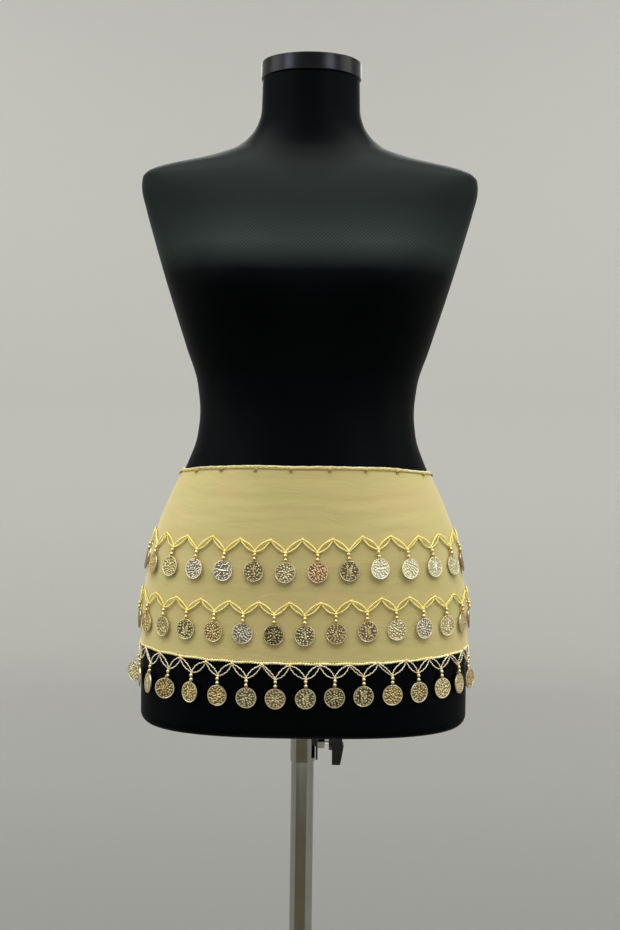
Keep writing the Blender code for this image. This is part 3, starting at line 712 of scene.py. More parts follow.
def struckMarks(motif, chance):
    # each raised mark of a generic struck motif: across, up, half length, half width (mm), direction
    marks = []

    def ring(radius, count, length, width, lean, loose=0.35):
        begin = chance.uniform(0, math.tau)
        for index in range(count):
            turn = begin + math.tau * (index + chance.uniform(-0.22, 0.22)) / count
            reach = radius + chance.uniform(-0.45, 0.45)
            direction = lean + chance.gauss(0, loose) + (0 if motif == "weave" else turn)
            scale = chance.uniform(0.65, 1.35)
            marks.append((reach * math.cos(turn), reach * math.sin(turn), length * scale,
                          width * chance.uniform(0.8, 1.2), direction))

    slant = chance.uniform(0, math.pi)
    if motif == "rosette":  # dots, petals and a boss
        ring(8.0, 17, 0.75, 0.55, 0)
        ring(5.5, 12, 1.05, 0.52, 0.2, 0.45)
        ring(3.1, 7, 1.05, 0.50, 0.6, 0.5)
        ring(1.0, 3, 0.7, 0.5, 0.5)
    elif motif == "weave":  # short marks that all lie one way
        ring(8.0, 15, 1.15, 0.50, slant, 0.5)
        ring(5.9, 12, 1.25, 0.50, slant, 0.45)
        ring(3.6, 8, 1.25, 0.50, slant, 0.45)
        ring(1.3, 3, 1.1, 0.50, slant, 0.45)
    elif motif == "strokes":  # one long bar between curved strokes
        marks.append((chance.uniform(-0.5, 0.5), 0, 5.0, 0.62, slant))
        ring(8.0, 15, 1.05, 0.52, 1.1, 0.5)
        ring(5.7, 11, 1.05, 0.50, 0.6, 0.6)
        ring(3.2, 6, 0.9, 0.48, 0.3, 0.7)
    else:  # a sprig: stem, leaves and dots
        for side in (-1, 1):
            for place in (-4.4, -2.2, 0.0, 2.2, 4.0):
                across, up = side * chance.uniform(1.6, 2.4), place + chance.uniform(-0.4, 0.4)
                marks.append((across, up, chance.uniform(1.0, 1.6), 0.50,
                              math.pi / 2 - side * 0.85 + chance.gauss(0, 0.3)))
        marks.append((0.3, -0.4, 4.6, 0.50, math.pi / 2 + chance.uniform(-0.2, 0.2)))
        ring(8.0, 16, 0.80, 0.55, 0.7, 0.6)
        ring(5.7, 9, 0.8, 0.52, 0.7, 0.7)
    return marks


def struckRelief(motif, x, z, chance):
    # height of the motif, 0 to 1, in a field that is 8.8 mm in radius
    relief = np.zeros(x.shape)
    for across, up, length, width, direction in struckMarks(motif, chance):
        u = (x - across) * math.cos(direction) + (z - up) * math.sin(direction)
        v = (z - up) * math.cos(direction) - (x - across) * math.sin(direction)
        v = v + 0.12 * u * u / length
        away = np.hypot(u / (length + 0.15), v / (width + 0.15))
        relief = np.maximum(relief, 1 - smooth(away, 0.58, 1.30))
    return relief * (1 - smooth(np.hypot(x, z), 8.6, 9.0))


coin = {
    "radius": 10.15,       # all in mm
    "thick": 1.2,
    "hole": 8.0,           # how far the hole lies above the middle
    "relief": 0.42,
    "rim": 0.30,
    "rimTone": (0.86, 0.80, 0.60),
    "charted": 96,         # columns of a coin that shows in front, and of the others
    "plain": 56,
}
coinRings = np.concatenate((np.linspace(0.45, 8.55, 19), (9.0, 9.35, 9.85, 10.05)))


def coinShape(motif, alloy, darkness, rimGleam, chance, columns):
    # a thin coin upright at the origin with its struck face towards -Y; also the tint of each point
    turn = np.linspace(0, math.tau, columns, endpoint=False)
    radius = np.concatenate(([0.0], coinRings))[:, None]
    x, z = radius * np.cos(turn), radius * np.sin(turn)
    hole = np.exp(-(x**2 + (z - coin["hole"]) ** 2) / 0.56)
    relief, twist = struckRelief(motif, x, z, chance), chance.uniform(0, math.tau)
    rim = smooth(radius, 8.95, 9.3) * (1 - smooth(radius, 9.85, 10.2) * 0.5)
    height = coin["relief"] * relief * (1 - hole) + coin["rim"] * rim - 0.45 * hole
    half, reach = coin["thick"] / 2, coin["radius"]
    wave = 1 + 0.008 * np.cos(3 * turn + twist * 5)
    front = np.stack((x * wave, -(half + height - 0.18), z * wave), -1)
    edge = np.stack((reach * np.cos(turn) * wave, np.zeros_like(turn), reach * np.sin(turn) * wave), -1)
    edgeLow = edge * (1, 0, 1) + (0, half * 0.75, 0)
    back = edge * (0.985, 0, 0.985) + (0, half, 0)
    backIn = edge * (0.86, 0, 0.86) + (0, half - 0.12, 0)
    points = np.concatenate((front[0, :1], front[1:].reshape(-1, 3), edge, edgeLow, back, backIn,
                             [(0, half - 0.12, 0)])) / 1000
    ringCount = len(coinRings) + 4
    quads = gridFaces(ringCount, columns, closed=True, first=1, flip=True)
    near = np.arange(columns)
    centre = np.stack((np.zeros_like(near), (near + 1) % columns + 1, near + 1), -1)
    last = 1 + (ringCount - 1) * columns
    close = np.stack((np.full_like(near, last + columns), last + near, last + (near + 1) % columns), -1)
    faces = np.concatenate((quads[:, (0, 1, 2)], quads[:, (0, 2, 3)], centre[:, ::-1], close[:, ::-1]))
    raised = np.maximum(smooth(relief, 0.1, 0.8), rim) * (1 - hole)
    body = np.array(alloys[alloy])
    struck = 1.02 * body * (1 - darkness * 0.87 * (1 - raised))[..., None]
    worn = struck + (np.maximum(body, coin["rimTone"]) - struck) * (rim * rimGleam)[..., None]
    tint = np.concatenate((worn[0, :1], worn[1:].reshape(-1, 3), np.tile(body * 0.8, (4 * columns + 1, 1))))
    return points, faces, tint


def goldFinish(name, tone, worn, roughness, metal, coat=0.0):
    # small gilt pieces: a slow change of tone, with fine pits
    f = Finish(name)
    where = f.place()
    cloud, pits = f.noise(where, 130, 3), f.noise(where, 1500, 2, 0.6)
    colour = f.mix((cloud * 2.2 - 0.6).clamped(), rgb(*tone), rgb(*worn))
    return f.surface(Base_Color=colour, Metallic=metal, Roughness=pits * 0.18 + roughness, Coat_Weight=coat,
                     Coat_Roughness=0.15, Normal=f.bump(pits, 0.15, 0.0002))


def coinFinish():
    f = Finish("struck_coin")
    where = f.place()
    tint = f.attribute("tint", 0)
    patina, pits = f.noise(where, 260, 3, 0.6), f.noise(where, 1900, 2, 0.6)
    dulled = f.mix((patina * 1.6 - 0.55).clamped(), tint, rgb(0.74, 0.66, 0.50), "MULTIPLY")
    return f.surface(Base_Color=dulled, Metallic=0.92, Roughness=patina * 0.16 + pits * 0.10 + 0.20,
                     Normal=f.bump(pits, 0.18, 0.0002))


def threadFinish(name, tone, worn):
    # twisted yarn, fuzzy and matt
    f = Finish(name)
    where = f.place()
    twist, fuzz = f.noise(where, 420, 2), f.noise(where, 1700, 2, 0.6)
    return f.surface(Base_Color=f.mix((twist * 1.9 - 0.45).clamped(), rgb(*tone), rgb(*worn)),
                     Roughness=fuzz * 0.2 + 0.5, Normal=f.bump(fuzz, 0.4, 0.0003),
                     Sheen_Weight=0.35, Sheen_Roughness=0.4, Sheen_Tint=rgb(1.0, 0.9, 0.6))


finishes = {
    "coin": coinFinish(),
    "bead": goldFinish("gilt_bead", (0.66, 0.49, 0.17), (0.88, 0.72, 0.34), 0.20, 0.95),
    "paleBead": goldFinish("pale_gilt_bead", (0.60, 0.50, 0.24), (0.84, 0.76, 0.46), 0.20, 0.95),
    "seed": goldFinish("yellow_seed_bead", (0.80, 0.64, 0.13), (0.98, 0.90, 0.36), 0.30, 0.10, 0.5),
    "edge": goldFinish("edging_bead", (0.80, 0.66, 0.22), (0.98, 0.93, 0.56), 0.28, 0.15, 0.5),
    "paleSeed": goldFinish("pale_seed_bead", (0.74, 0.63, 0.38), (0.97, 0.93, 0.72), 0.28, 0.20, 0.5),
    "thread": threadFinish("amber_thread", (0.50, 0.30, 0.06), (0.78, 0.56, 0.17)),
    "yellowTie": threadFinish("yellow_tie", (0.72, 0.55, 0.12), (0.93, 0.82, 0.30)),
    "salmonTie": threadFinish("salmon_tie", (0.66, 0.36, 0.13), (0.88, 0.66, 0.38)),
    "cord": threadFinish("cream_cord", (0.66, 0.52, 0.20), (0.99, 0.93, 0.62)),
    "oldGold": threadFinish("old_gold_thread", (0.38, 0.28, 0.05), (0.68, 0.54, 0.16)),
    "brownYarn": threadFinish("brown_yarn", (0.20, 0.12, 0.03), (0.46, 0.31, 0.09)),
}


def alongPath(points, pitch):
    # places a fixed step apart along a path
    points = np.asarray(points)
    run = runAlong(points)
    count = max(2, round(run[-1] / pitch) + 1)
    where = np.linspace(0, run[-1], count)
    return np.stack([np.interp(where, run, points[:, axis]) for axis in range(3)], -1)


class CoinRow:
    # one row, gathered coin by coin: a loop of strands, two beads and a coin that hangs from them
    def __init__(self, name, spec):
        self.name, self.spec, self.chance = name, spec, random.Random("coins " + name)
        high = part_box("coin_row_" + name)[1]
        self.top = high.z if spec["clothBehind"] else high.z - wrap["hemLift"]
        self.toAngle, toRun = roundTheCloth(self.top - 0.016)
        start, end = toRun(hanging["ends"][0]), toRun(hanging["ends"][1])
        pitch, first, even = spec["pitch"], spec["first"], hanging["evenCoins"]
        lowest, highest = round((start - first) / pitch + 0.5), round((end - first) / pitch - 0.5)
        self.numbers = range(lowest, highest + 1)
        # behind, the pitch gives a little, so that the row fills its length
        self.knownNumbers = (lowest - 0.5, -even, even, highest + 0.5)
        self.knownRuns = (start, first - even * pitch, first + even * pitch, end)
        self.strands, self.beads, self.threads, self.ties, self.coins = [], Heap(), Heap(), Heap(), Heap()
        peaks = range(lowest, highest + 2)
        self.sway = {peak: hanging["sway"] * self.chance.uniform(-1, 1) for peak in peaks}
        self.drop = {peak: hanging["drop"] * self.chance.uniform(-1, 1) for peak in peaks}

    def place(self, number):
        # how far round the cloth a coin lies, or a peak for a number and a half
        return float(np.interp(number, self.knownNumbers, self.knownRuns))

    def spot(self, run, below, lift):
        # a point so far round, so far below the row's top and so far off the face behind it
        angles = self.toAngle(run)
        level = self.top + self.spec["rightLift"] * smooth(angles, 0, 38) * (1 - smooth(angles, 110, 165))
        if self.spec["clothBehind"]:
            face = clothFace(angles) + 0.00045
        else:
            level = level + hemEdge(angles) - hemHeight
            face = clothFace(angles) - wrap["wall"] + 0.0003
        return formPoints(angles, level - np.asarray(below), face + lift)

    def addHalfLoop(self, number, side, middle, vee):
        # two strands from the peak on one side down to the vee
        chance, t = self.chance, np.linspace(0, 1, 13)
        peak = number if side < 0 else number + 1
        peakRun, drop = self.place(peak - 0.5) + self.sway[peak], self.drop[peak]
        along = peakRun + (middle - peakRun) * t
        below = drop + 0.0006 + (vee - drop - 0.0006) * t
        slack = chance.uniform(0.70, 1.15) if chance.random() < 0.88 else 0.4
        pitch = hanging["seedPitch" if self.spec["clothBehind"] else "buglePitch"]
        for strand in (-1, 1):
            swell = self.spec["open"] * slack * np.sin(math.pi * t**chance.uniform(0.8, 1.25))
            off = strand * swell + hanging["strandGap"] * strand
            bow = 0.0009 + 0.0006 * np.sin(math.pi * t) + 0.0002 * strand
            path = self.spot(along - off * 0.55 * side, below - off * 0.8, bow)
            self.strands.append(alongPath(path, pitch))
        # a stitch over the peak, with a short ear of thread, and a knot on it
        ear = [self.spot(peakRun + side * 0.0008, drop + 0.0016, 0.0008),
               self.spot(peakRun, drop - 0.0001, 0.0014),
               self.spot(peakRun - side * 0.0013, drop - 0.0009, 0.0009)]
        self.threads.add(*tube(alongPath(ear, 0.0006), 0.00050, 5))
        centre = self.spot(peakRun - side * 0.0002, drop + 0.0006, 0.0012)
        self.ties.add(*copies(ball(8, 6), [centre], hanging["peakKnot"]))

    def addBeads(self, middle, vee, lower):
        # the tie at the vee, the thread down from it and two beads on the thread
        tie = [self.spot(middle, vee + down, lift)
               for down, lift in ((-0.0009, 0.0014), (0.0002, 0.0016), (0.0012, 0.0016))]
        self.ties.add(*tube(tie, (0.0011, 0.0016, 0.0008), 8))
        thread = [self.spot(middle, vee, 0.0016),
                  self.spot(middle, hanging["lowerBead"] + lower + 0.0024, 0.0018)]
        self.threads.add(*tube(thread, hanging["thread"], 5))
        for key in ("upperBead", "lowerBead"):
            centre = self.spot(middle + 0.0002 * self.chance.uniform(-1, 1), hanging[key] + lower, 0.0021)
            size = hanging["bead"] * self.chance.uniform(0.95, 1.03)
            self.beads.add(*copies(ball(14, 9), [centre], size))

    def addCoin(self, number, middle, below):
        # the coin is a little turned and tilted, and a ring of thread runs through its hole
        chance = self.chance
        chartStart, chart = coinChart[self.name]
        charted = 0 <= number - chartStart < len(chart)
        if charted:
            alloy, darkness, motif, yaw = chart[number - chartStart]
        else:
            alloy, darkness = chance.choice(plainAlloys), chance.uniform(0.6, 1.0)
            motif, yaw = chance.choice(motifs), chance.uniform(-6, 6)
        # which way the face behind it looks
        up = self.spot(middle, below - 0.009, 0) - self.spot(middle, below + 0.009, 0)
        right = self.spot(middle + 0.008, below, 0) - self.spot(middle - 0.008, below, 0)
        up, right = Vector(up).normalized(), Vector(right).normalized()
        out = right.cross(up).normalized()
        right = up.cross(out)
        turn = Quaternion(up, math.radians(yaw)) @ Quaternion(out, math.radians(chance.uniform(-4, 4)))
        away = coin["thick"] / 2000 + 0.0004 + 0.0095 * abs(math.sin(math.radians(yaw)))
        centre = np.array(Vector(self.spot(middle, below, 0)) + out * away)
        basis = np.array([turn @ right, turn @ (out * -1), turn @ up])
        columns = coin["charted" if charted else "plain"]
        points, faces, tint = coinShape(motif, alloy, darkness, self.spec["rim"], chance, columns)
        self.coins.add(points @ basis + centre, faces, tint=tint)
        bend = np.linspace(0, math.tau, 14, endpoint=False)
        ring = np.stack((0.0002 * np.sin(bend), 0.0012 * np.cos(bend), 0.0101 + 0.0024 * np.sin(bend)), -1)
        self.threads.add(*tube(ring @ basis + centre, 0.00034, 5, closed=True))

    def beadStrands(self):
        # round seed beads along every strand, or at the hem short bugles that lean to and fro
        heap = Heap()
        points, faces = ball(6, 4)
        if self.spec["clothBehind"]:
            centres = np.concatenate(self.strands)
            jitter = np.random.default_rng(5).uniform(0.92, 1.06, len(centres))
            heap.add(*copies((points, faces), centres, self.spec["seed"] * jitter))
            return heap
        for strand in self.strands:
            for number, (centre, ahead) in enumerate(zip(strand, np.gradient(strand, axis=0))):
                sideways = Vector((ahead[2], 0, -ahead[0])).normalized()
                lean = Vector(ahead).normalized() + sideways * (0.38 if number % 2 else -0.30)
                basis = np.array(lean.to_track_quat("X", "Y").to_matrix()).T
                heap.add((points * hanging["bugle"]) @ basis + centre, faces)
        return heap

    def make(self):
        for number in self.numbers:
            middle = self.place(number) + 0.0005 * self.chance.uniform(-1, 1)
            lower = self.spec["longer"] + 0.0006 * self.chance.uniform(-1, 1)
            vee = hanging["vee"] + lower
            for side in (-1, 1):
                self.addHalfLoop(number, side, middle, vee)
            self.addBeads(middle, vee, lower)
            self.addCoin(number, middle, hanging["coin"] + lower)
        yellow = self.spec["clothBehind"]  # the hem's own yarns and beads are paler
        parts = (("strands", self.beadStrands(), "seed" if yellow else "paleSeed", "gold_yarn"),
                 ("beads", self.beads, "bead" if yellow else "paleBead", "gold_coin"),
                 ("threads", self.threads, "thread", "gold_yarn"),
                 ("ties", self.ties, "yellowTie" if yellow else "salmonTie", "gold_yarn"))
        pieces = [heap.make(f"row_{self.name}_{part}", finishes[finish], "form", slotName)
                  for part, heap, finish, slotName in parts]
        pieces.append(self.coins.make(f"row_{self.name}_coins", finishes["coin"], "form", "gold_coin",
                                      ["coin_row_" + self.name], 55))
        print("row", self.name, "has", len(self.numbers), "coins")
        return pieces


fringes = [piece for name, spec in rows.items() for piece in CoinRow(name, spec).make()]


edging = {
    "plyRadius": 0.00062,
    "plyTwist": 0.0036,    # metres for a whole turn
    "laidThread": 0.00062,
    "knotPitch": 0.0365,
    "firstKnot": 0.0240,
    "beadPitch": 0.0026,
    "bead": 0.00135,
    "start": -165.3,       # degrees round the cloth, where the outer end covers the inner one
    "end": endAngle - 0.3,
}


def edgeLine(heights, lift, step=0.001):
    # a line of points round the cloth, so far out from the middle of its wall
    start, end = edging["start"], edging["end"]
    angles = np.linspace(start, end, int(math.radians(end - start) * 0.15 / step))
    return formPoints(angles, heights(angles), clothFace(angles) - wrap["wall"] / 2 + lift)


def addPlies(heap):
    # two plies laid round each other along the top edge
    middle = edgeLine(lambda angles: topEdge(angles) + 0.0013, 0.0)
    run = runAlong(middle)
    angles = np.linspace(edging["start"], edging["end"], len(middle))
    outward = madeUnit(formPoints(angles, 1.05, 0.001) - formPoints(angles, 1.05))
    for phase in (0.0, math.pi):
        turn = run / edging["plyTwist"] * math.tau + phase + 0.8 * np.sin(run * 160)
        reach = 0.00050 + 0.00022 * np.sin(run * 410 + phase)
        path = middle + outward * (reach * np.cos(turn))[:, None]
        path[:, 2] += 0.0003 + reach * np.sin(turn) + 0.0002 * np.sin(run * 95)
        thick = edging["plyRadius"] * (1 + 0.30 * np.sin(run * 1300 + phase))
        heap.add(*tube(path, thick, 6))


def addCordKnot(knots, threads, angle):
    # a small knot under the cord, with two stitches over it
    height, lift = topEdge(angle), clothFace(angle)
    centre = formPoints(angle, height - 0.0010, lift + 0.0011)
    points, faces = ball(10, 7)
    knots.add(points * (0.0014, 0.0012, 0.0012) + centre, faces)
    knots.add(points * (0.0009, 0.0008, 0.0013) + centre - (0.0012, 0, 0.0012), faces)
    for side in (-1, 1):
        path = [formPoints(angle + side * turn, height + up, lift + out)
                for turn, up, out in ((0.25, 0.0010, 0.0006), (0.55, -0.0004, 0.0014),
                                      (-0.15, -0.0021, 0.0010), (-0.45, -0.0034, 0.0006))]
        threads.add(*tube(alongPath(path, 0.0005), 0.00036, 5))


def makeTopCord():
    # the plies, a dark thread laid under them that also stands in for the shade below the cord (painted
    # shade), and small knots that hang from them
    plies, threads, laid, knots = Heap(), Heap(), Heap(), Heap()
    addPlies(plies)
    under = edgeLine(lambda angles: topEdge(angles) + 0.0001, 0.00095, 0.002)
    under[:, 2] += 0.0002 * np.sin(np.arange(len(under)) * 1.3)
    laid.add(*tube(under, edging["laidThread"], 6))
    toAngle, toRun = roundTheCloth(topFront - 0.004)
    first, pitch = edging["firstKnot"], edging["knotPitch"]
    lowest, highest = math.ceil((toRun(-164) - first) / pitch), int((toRun(endAngle - 2) - first) // pitch)
    chance = random.Random("knots")
    for number in range(lowest, highest + 1):
        addCordKnot(knots, threads, toAngle(first + pitch * number + 0.002 * chance.uniform(-1, 1)))
    return [plies.make("top_cord_plies", finishes["cord"], "form", "gold_yarn", ["top_cord"]),
            threads.make("top_cord_threads", finishes["oldGold"], "form", "gold_yarn"),
            laid.make("top_cord_laid_thread", finishes["oldGold"], "form", "gold_yarn"),
            knots.make("top_cord_knots", finishes["brownYarn"], "form", "gold_yarn")]


def beadLine(name, path, replaced):
    # a close row of small beads on one thread, each longer than it is thick and leaning over the next
    heap = Heap()
    centres = alongPath(path, edging["beadPitch"])
    sizes = edging["bead"] * np.random.default_rng(9).uniform(0.88, 1.10, len(centres))
    points, faces = ball(8, 6)
    for centre, size, ahead in zip(centres, sizes, madeUnit(np.gradient(centres, axis=0))):
        lean = Vector((0, 0, 1)).lerp(Vector(ahead), 0.62).normalized()
        basis = lean.to_track_quat("X", "Z").to_matrix()
        heap.add((points * (1.45, 0.80, 0.80) * size) @ np.array(basis).T + centre, faces)
    heap.add(*tube(path[::2], 0.00055, 5))
    return heap.make(name, finishes["edge"], "form", "gold_yarn", [replaced])


def makeEdgings():
    hem = edgeLine(lambda angles: hemEdge(angles) - 0.0013, 0.0)
    hem[:, 2] += 0.0003 * np.sin(np.arange(len(hem)) * 0.21)
    heights = np.linspace(hemEdge(endAngle) + 0.0012, topEdge(endAngle) - 0.0012, 90)
    end = formPoints(endAngle + 0.62, heights, clothFace(endAngle))
    return [beadLine("hem_edging_beads", hem, "hem_edging"),
            beadLine("end_edging_beads", end, "end_edging")]


edgings = makeTopCord() + makeEdgings()
print("edgings made")


tie = {
    "tail": 0.072,         # a tail's length and flat width
    "tailWidth": 0.024,
    "offTop": 0.0060,      # from the form to a tail, at the knot and lower down
    "offLow": 0.0086,
    "pleat": 0.0011,
    "thick": 0.0006,
    "columns": 36,
    "rows": 90,
}


def makeKnot(material):
    # the two top corners tied once: a pinched bundle whose folds slant across it
    low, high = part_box("knot")
    centre, half = np.array((low + high) / 2), np.array((high - low) / 2)
    points, faces = ball(96, 66)
    x, y, z = points.T
    turn = np.arctan2(z, y)
    folds = (0.045 * np.sin(7 * turn + 9 * x + 1.5 * np.sin(3 * x)) + 0.020 * np.sin(13 * turn - 15 * x)
             - 0.10 * np.exp(-((z - 0.55 * x - 0.1) / 0.16) ** 2) * (y > -0.4))
    pinch = 1 - 0.22 * np.exp(-((x / 0.30) ** 2))
    size = (1 + folds) * 0.97
    shaped = np.stack((x * (0.97 + 0.3 * folds), y * size, z * size * pinch), -1) * half + centre
    heap = Heap()
    heap.add(shaped, faces, run=shaped[:, 0] * 0.4, height=shaped[:, 2] + shaped[:, 1] * 2, edge=0.0)
    return heap.make("knot_folds", material, "form", "chiffon", ["knot"])


def makeTail(node, side, material):
    # a free end that widens as it hangs, pleated down its length and cut on the slant
    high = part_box(node)[1]
    t = np.linspace(0, 1, tie["rows"])[:, None]
    u = np.linspace(-0.5, 0.5, tie["columns"])[None]
    middle, half = side * (0.0085 + 0.0165 * t), 0.0065 + 0.0085 * t
    x = middle + 2 * half * u
    height = high.z - tie["tail"] * t * (1 - 0.16 * t * (0.5 + side * u))
    height, x = np.broadcast_arrays(height, x)
    angle = 180 - np.degrees(np.arctan2(x, formSection(height)[2]))
    off = tie["offTop"] + (tie["offLow"] - tie["offTop"]) * np.minimum(1, 2.2 * t) + 0.0006
    pleats = tie["pleat"] * (1 + np.sin(u * 19 + side * 1.3 + 1.2 * np.sin(t * 4))) * (0.35 + 0.65 * t)
    pleats = pleats + 0.0004 * (1 + np.sin(t * 17 + u * 9))
    outer = formPoints(angle, height, off + pleats + tie["thick"])
    inner = formPoints(angle, height, off + pleats)
    fromEdge = np.minimum(abs(abs(u) - 0.5) * 0.03, (1 - t) * tie["tail"])
    heap = Heap()
    # the streaks run down a tail, so height and run change places
    addShell(heap, inner, outer, run=height, height=x, edge=np.exp(-((fromEdge / 0.0015) ** 2)))
    return heap.make(node + "_cloth", material, "form", "chiffon", [node], 60)


knot = makeKnot(chiffon)
tails = [makeTail("tail_left", -1, chiffon), makeTail("tail_right", 1, chiffon)]
middleRun = roundTheCloth((topFront + hemHeight) / 2)[1]
scarfLength = round(float(middleRun(endAngle) - middleRun(-endAngle)), 3)
print("knot and tails made; the cloth is", scarfLength, "m long")


def chromeFinish():
    # polished plating with faint drawn lines and smears
    f = Finish("chrome_plating")
    where = f.place()
    lines = f.noise(f.stretch(where, (900.0, 900.0, 12.0)), 1.0, 2, 0.5)
    smears = f.noise(where, 22, 3, 0.6)
    colour = f.mix(smears, rgb(0.38, 0.38, 0.35), rgb(0.50, 0.50, 0.47))
    return f.surface(Base_Color=colour, Metallic=1.0, Roughness=smears * 0.10 + lines * 0.05 + 0.10,
                     Normal=f.bump(lines, 0.05, 0.0001))


def plasticFinish():
    f = Finish("moulded_black")
    where = f.place()
    pits, wear = f.noise(where, 900, 2), f.noise(where, 35, 3)
    return f.surface(Base_Color=f.mix(wear, rgb(0.006, 0.006, 0.006), rgb(0.017, 0.017, 0.018)),
                     Roughness=wear * 0.15 + 0.36, Normal=f.bump(pits, 0.25, 0.0003))


chrome, plastic = chromeFinish(), plasticFinish()
stand = {"plateEdge": 0.0030, "poleEdge": 0.0012, "sleeveEdge": 0.0007, "play": 0.00035,
         "bracketEdge": 0.0008, "screwEdge": 0.0004, "handleEdge": 0.0012}


def makeTurned(name, outline, radius, body, node, columns=96):
    # a chromed tube or disc with its corners eased
    heap = Heap()
    heap.add(*turned(rounded(outline, radius), columns))
    return heap.make(name, chrome, body, "chrome", [node], 38)


def makeStand():
    low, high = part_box("base_plate")
    makeTurned("base_disc", [(tiny, low.z), (high.x, low.z), (high.x, high.z - 0.004),
                             (high.x - 0.004, high.z), (high.x - 0.012, high.z), (tiny, high.z)],
               stand["plateEdge"], "stand", "base_plate", 160)
    low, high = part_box("pole")
    makeTurned("pole_tube", [(tiny, low.z), (high.x, low.z), (high.x, high.z), (tiny, high.z)],
               stand["poleEdge"], "stand", "pole")
    bore = high.x + stand["play"]
    low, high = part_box("base_socket")
    # a flange at the foot, then the neck with a bead round its mouth
    foot = [(bore, low.z + 0.001), (bore + 0.001, low.z), (high.x, low.z), (high.x, low.z + 0.005),
            (0.0235, low.z + 0.0065), (0.019, low.z + 0.013)]
    mouth = [(0.019, high.z - 0.006), (0.0198, high.z - 0.005), (0.0198, high.z - 0.001),
             (0.0185, high.z), (bore, high.z), (bore, low.z + 0.001)]
    makeTurned("base_socket_cup", foot + mouth, stand["poleEdge"], "stand", "base_socket")
    low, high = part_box("form_sleeve")
    makeTurned("sleeve_tube", [(bore, low.z), (high.x, low.z), (high.x, high.z), (bore, high.z),
                               (bore, low.z)], stand["sleeveEdge"], "sleeve", "form_sleeve")


def bevelled(node, width, material):
    # a carried solid, its edges eased
    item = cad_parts[node]
    item.data.materials.clear()
    item.data.materials.append(material)
    ease = item.modifiers.new("ease", "BEVEL")
    ease.width, ease.segments = width, 3
    ease.limit_method, ease.angle_limit = "ANGLE", math.radians(40)
    item.data.shade_smooth()
    item.data.set_sharp_from_angle(angle=math.radians(35))


def makeClamp():
    bevelled("clamp_bracket", stand["bracketEdge"], plastic)
    bevelled("clamp_screw", stand["screwEdge"], chrome)
    bevelled("clamp_handle", stand["handleEdge"], plastic)


makeStand()
makeClamp()
print("stand made")


studio = {
    "floor": 5.6,          # how far out the backdrop turns up, and how high it stands
    "wall": 4.6,
    "cove": 1.2,
    "felt": (0.105, 0.092, 0.055),
    "feltArc": (-66, 46),  # degrees round, and metres out, that the felt on the floor covers
    "feltReach": (0.25, 4.35),
    "hungArc": (-25, 25),  # and the hung felt
    "hungReach": 4.3,
    "hungHeights": (1.75, 4.4),
    "world": 0.28,
    "panelTurns": (-53, 43),
    "panelReach": 3,
}
# how pale the backdrop is painted, by distance out along the floor and then up the wall: painted shade,
# darker on the floor near the form and paler up the wall
backdropShading = ((1.65, 0.20), (2.1, 0.245), (2.6, 0.30), (3.4, 0.405), (4.4, 0.545), (5.1, 0.575), (5.7, 0.60),
           (6.3, 0.650), (6.7, 0.670), (7.5, 0.685))


def makeBackdrop():
    f = Finish("backdrop_paper")
    # the paper's tone carries the painted shade
    pale = f.attribute("pale", 2)
    paper = f.surface(Base_Color=f.mix(pale, rgb(0, 0, 0), rgb(1.0, 1.0, 0.955)), Roughness=0.9)
    reach, cove = studio["floor"], studio["cove"]
    outline = [(radius, 0.0) for radius in (0.001, 1.5, *np.arange(2.0, reach - cove + 0.01, 0.3))]
    outline += [(reach - cove + cove * math.sin(a), cove - cove * math.cos(a))
                for a in np.radians(np.linspace(5, 90, 18))]
    outline += [(reach, height) for height in np.arange(cove + 0.3, studio["wall"] + 0.01, 0.3)]
    points, faces = turned(outline, 128)
    away = np.hypot(points[:, 0], points[:, 1]) + points[:, 2]
    heap = Heap()
    heap.add(points - (0, 0, 0.0005), faces[:, ::-1], pale=np.interp(away, *zip(*backdropShading)))
    heap.make("backdrop", paper, None)


def makeFelt():
    # dark felt that only reflections see: a fan on the floor for the dark middle of the pole,
    # and a hung sheet for the dark middle of the cap
    f = Finish("dark_felt")
    darker = rgb(*(part * 0.7 for part in studio["felt"]))
    felt = f.surface(Base_Color=f.mix(f.noise(f.place(), 3), darker, rgb(*studio["felt"])), Roughness=0.9)
    fan, hung = np.linspace(*studio["feltArc"], 25), np.linspace(*studio["hungArc"], 15)
    heap = Heap()
    heap.add(np.concatenate([arc(reach, fan, 0.001) for reach in studio["feltReach"]]),
             gridFaces(2, len(fan), flip=True))
    heap.add(np.concatenate([arc(studio["hungReach"], hung, height) for height in studio["hungHeights"]]),
             gridFaces(2, len(hung), flip=True))
    drapes = heap.make("dark_felt", felt, None)
    drapes.visible_camera = drapes.visible_diffuse = drapes.visible_shadow = False


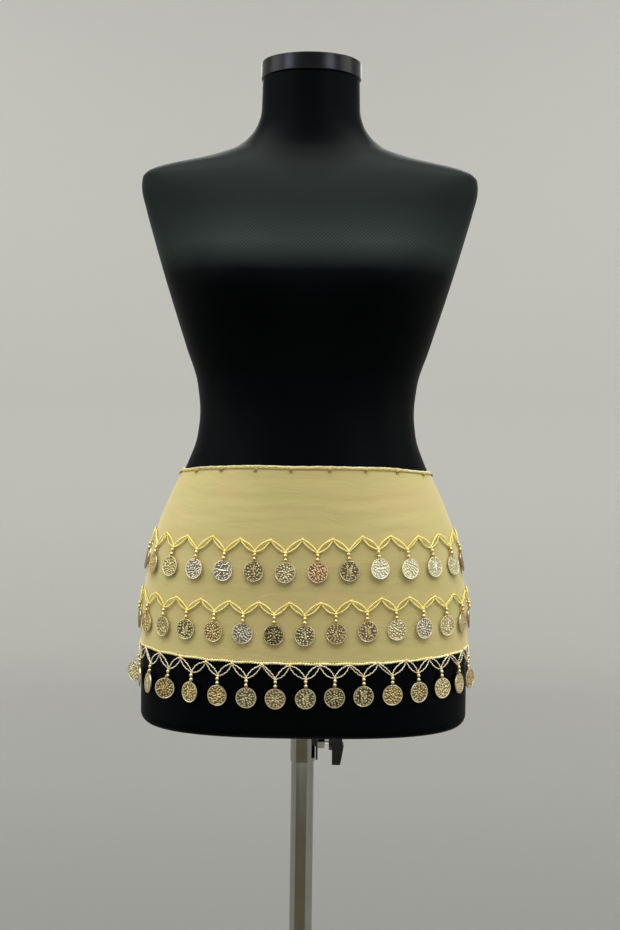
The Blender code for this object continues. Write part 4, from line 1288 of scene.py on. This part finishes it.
def areaLight(name, place, aim, size, power, tone, glossOnly=False):
    data = bpy.data.lights.new(name, "AREA")
    data.shape, data.size, data.size_y = "RECTANGLE", size[0], size[1]
    data.energy, data.color = power, tone
    item = bpy.data.objects.new(name, data)
    bpy.context.scene.collection.objects.link(item)
    item.location = place
    item.rotation_mode = "QUATERNION"
    item.rotation_quaternion = (Vector(aim) - Vector(place)).to_track_quat("-Z", "Y")
    item.visible_diffuse = not glossOnly


# each lamp's place, what it points at, its size in metres, power in watts and whether it is warm
lamps = {
    "overhead": ((0.0, -0.55, 3.2), (0, -0.55, 0), (3.6, 2.6), 148, True),
    "left side": ((-2.4, -0.1, 1.7), (0, 0, 1.05), (1.2, 1.8), 13, True),
    "right side": ((2.4, -0.1, 1.7), (0, 0, 1.05), (1.2, 1.8), 13, True),
    "front fill": ((0.0, -3.3, 1.3), (0, 0, 1.05), (2.8, 1.5), 4, False),
    "back": ((0.0, 2.4, 2.6), (0, 0, 1.1), (2.0, 1.2), 30, False),
}


def makeLights():
    world = bpy.data.worlds.new("studio")
    world.use_nodes = True
    sky = world.node_tree.nodes["Background"]
    sky.inputs[0].default_value, sky.inputs[1].default_value = (0.98, 1.0, 0.99, 1.0), studio["world"]
    bpy.context.scene.world = world
    warmTone, plainTone = (1.0, 0.99, 0.95), (1.0, 1.0, 0.98)
    for name, (place, aim, size, power, warm) in lamps.items():
        areaLight(name, place, aim, size, power, warmTone if warm else plainTone)
    for place in arc(studio["panelReach"], studio["panelTurns"], 2.15).tolist():
        # a cool panel that the glossy cap picks up
        areaLight("cap panel", place, (0, 0, 1.48), (0.9, 1.0), 18, (0.76, 0.80, 1.0), True)
    for side in (-1, 1):
        for name, out, height, power in (("wall wash", 2.2, 3.6, 38), ("front wash", -2.4, 3.8, 15)):
            aim = (side * 1.0, math.copysign(studio["floor"], out), 1.9)
            areaLight(name, (side * 2.2, out, height), aim, (2.0, 1.0), power, plainTone)


makeBackdrop()
makeFelt()
makeLights()
bpy.context.scene.view_settings.view_transform = "Standard"
print("studio set")
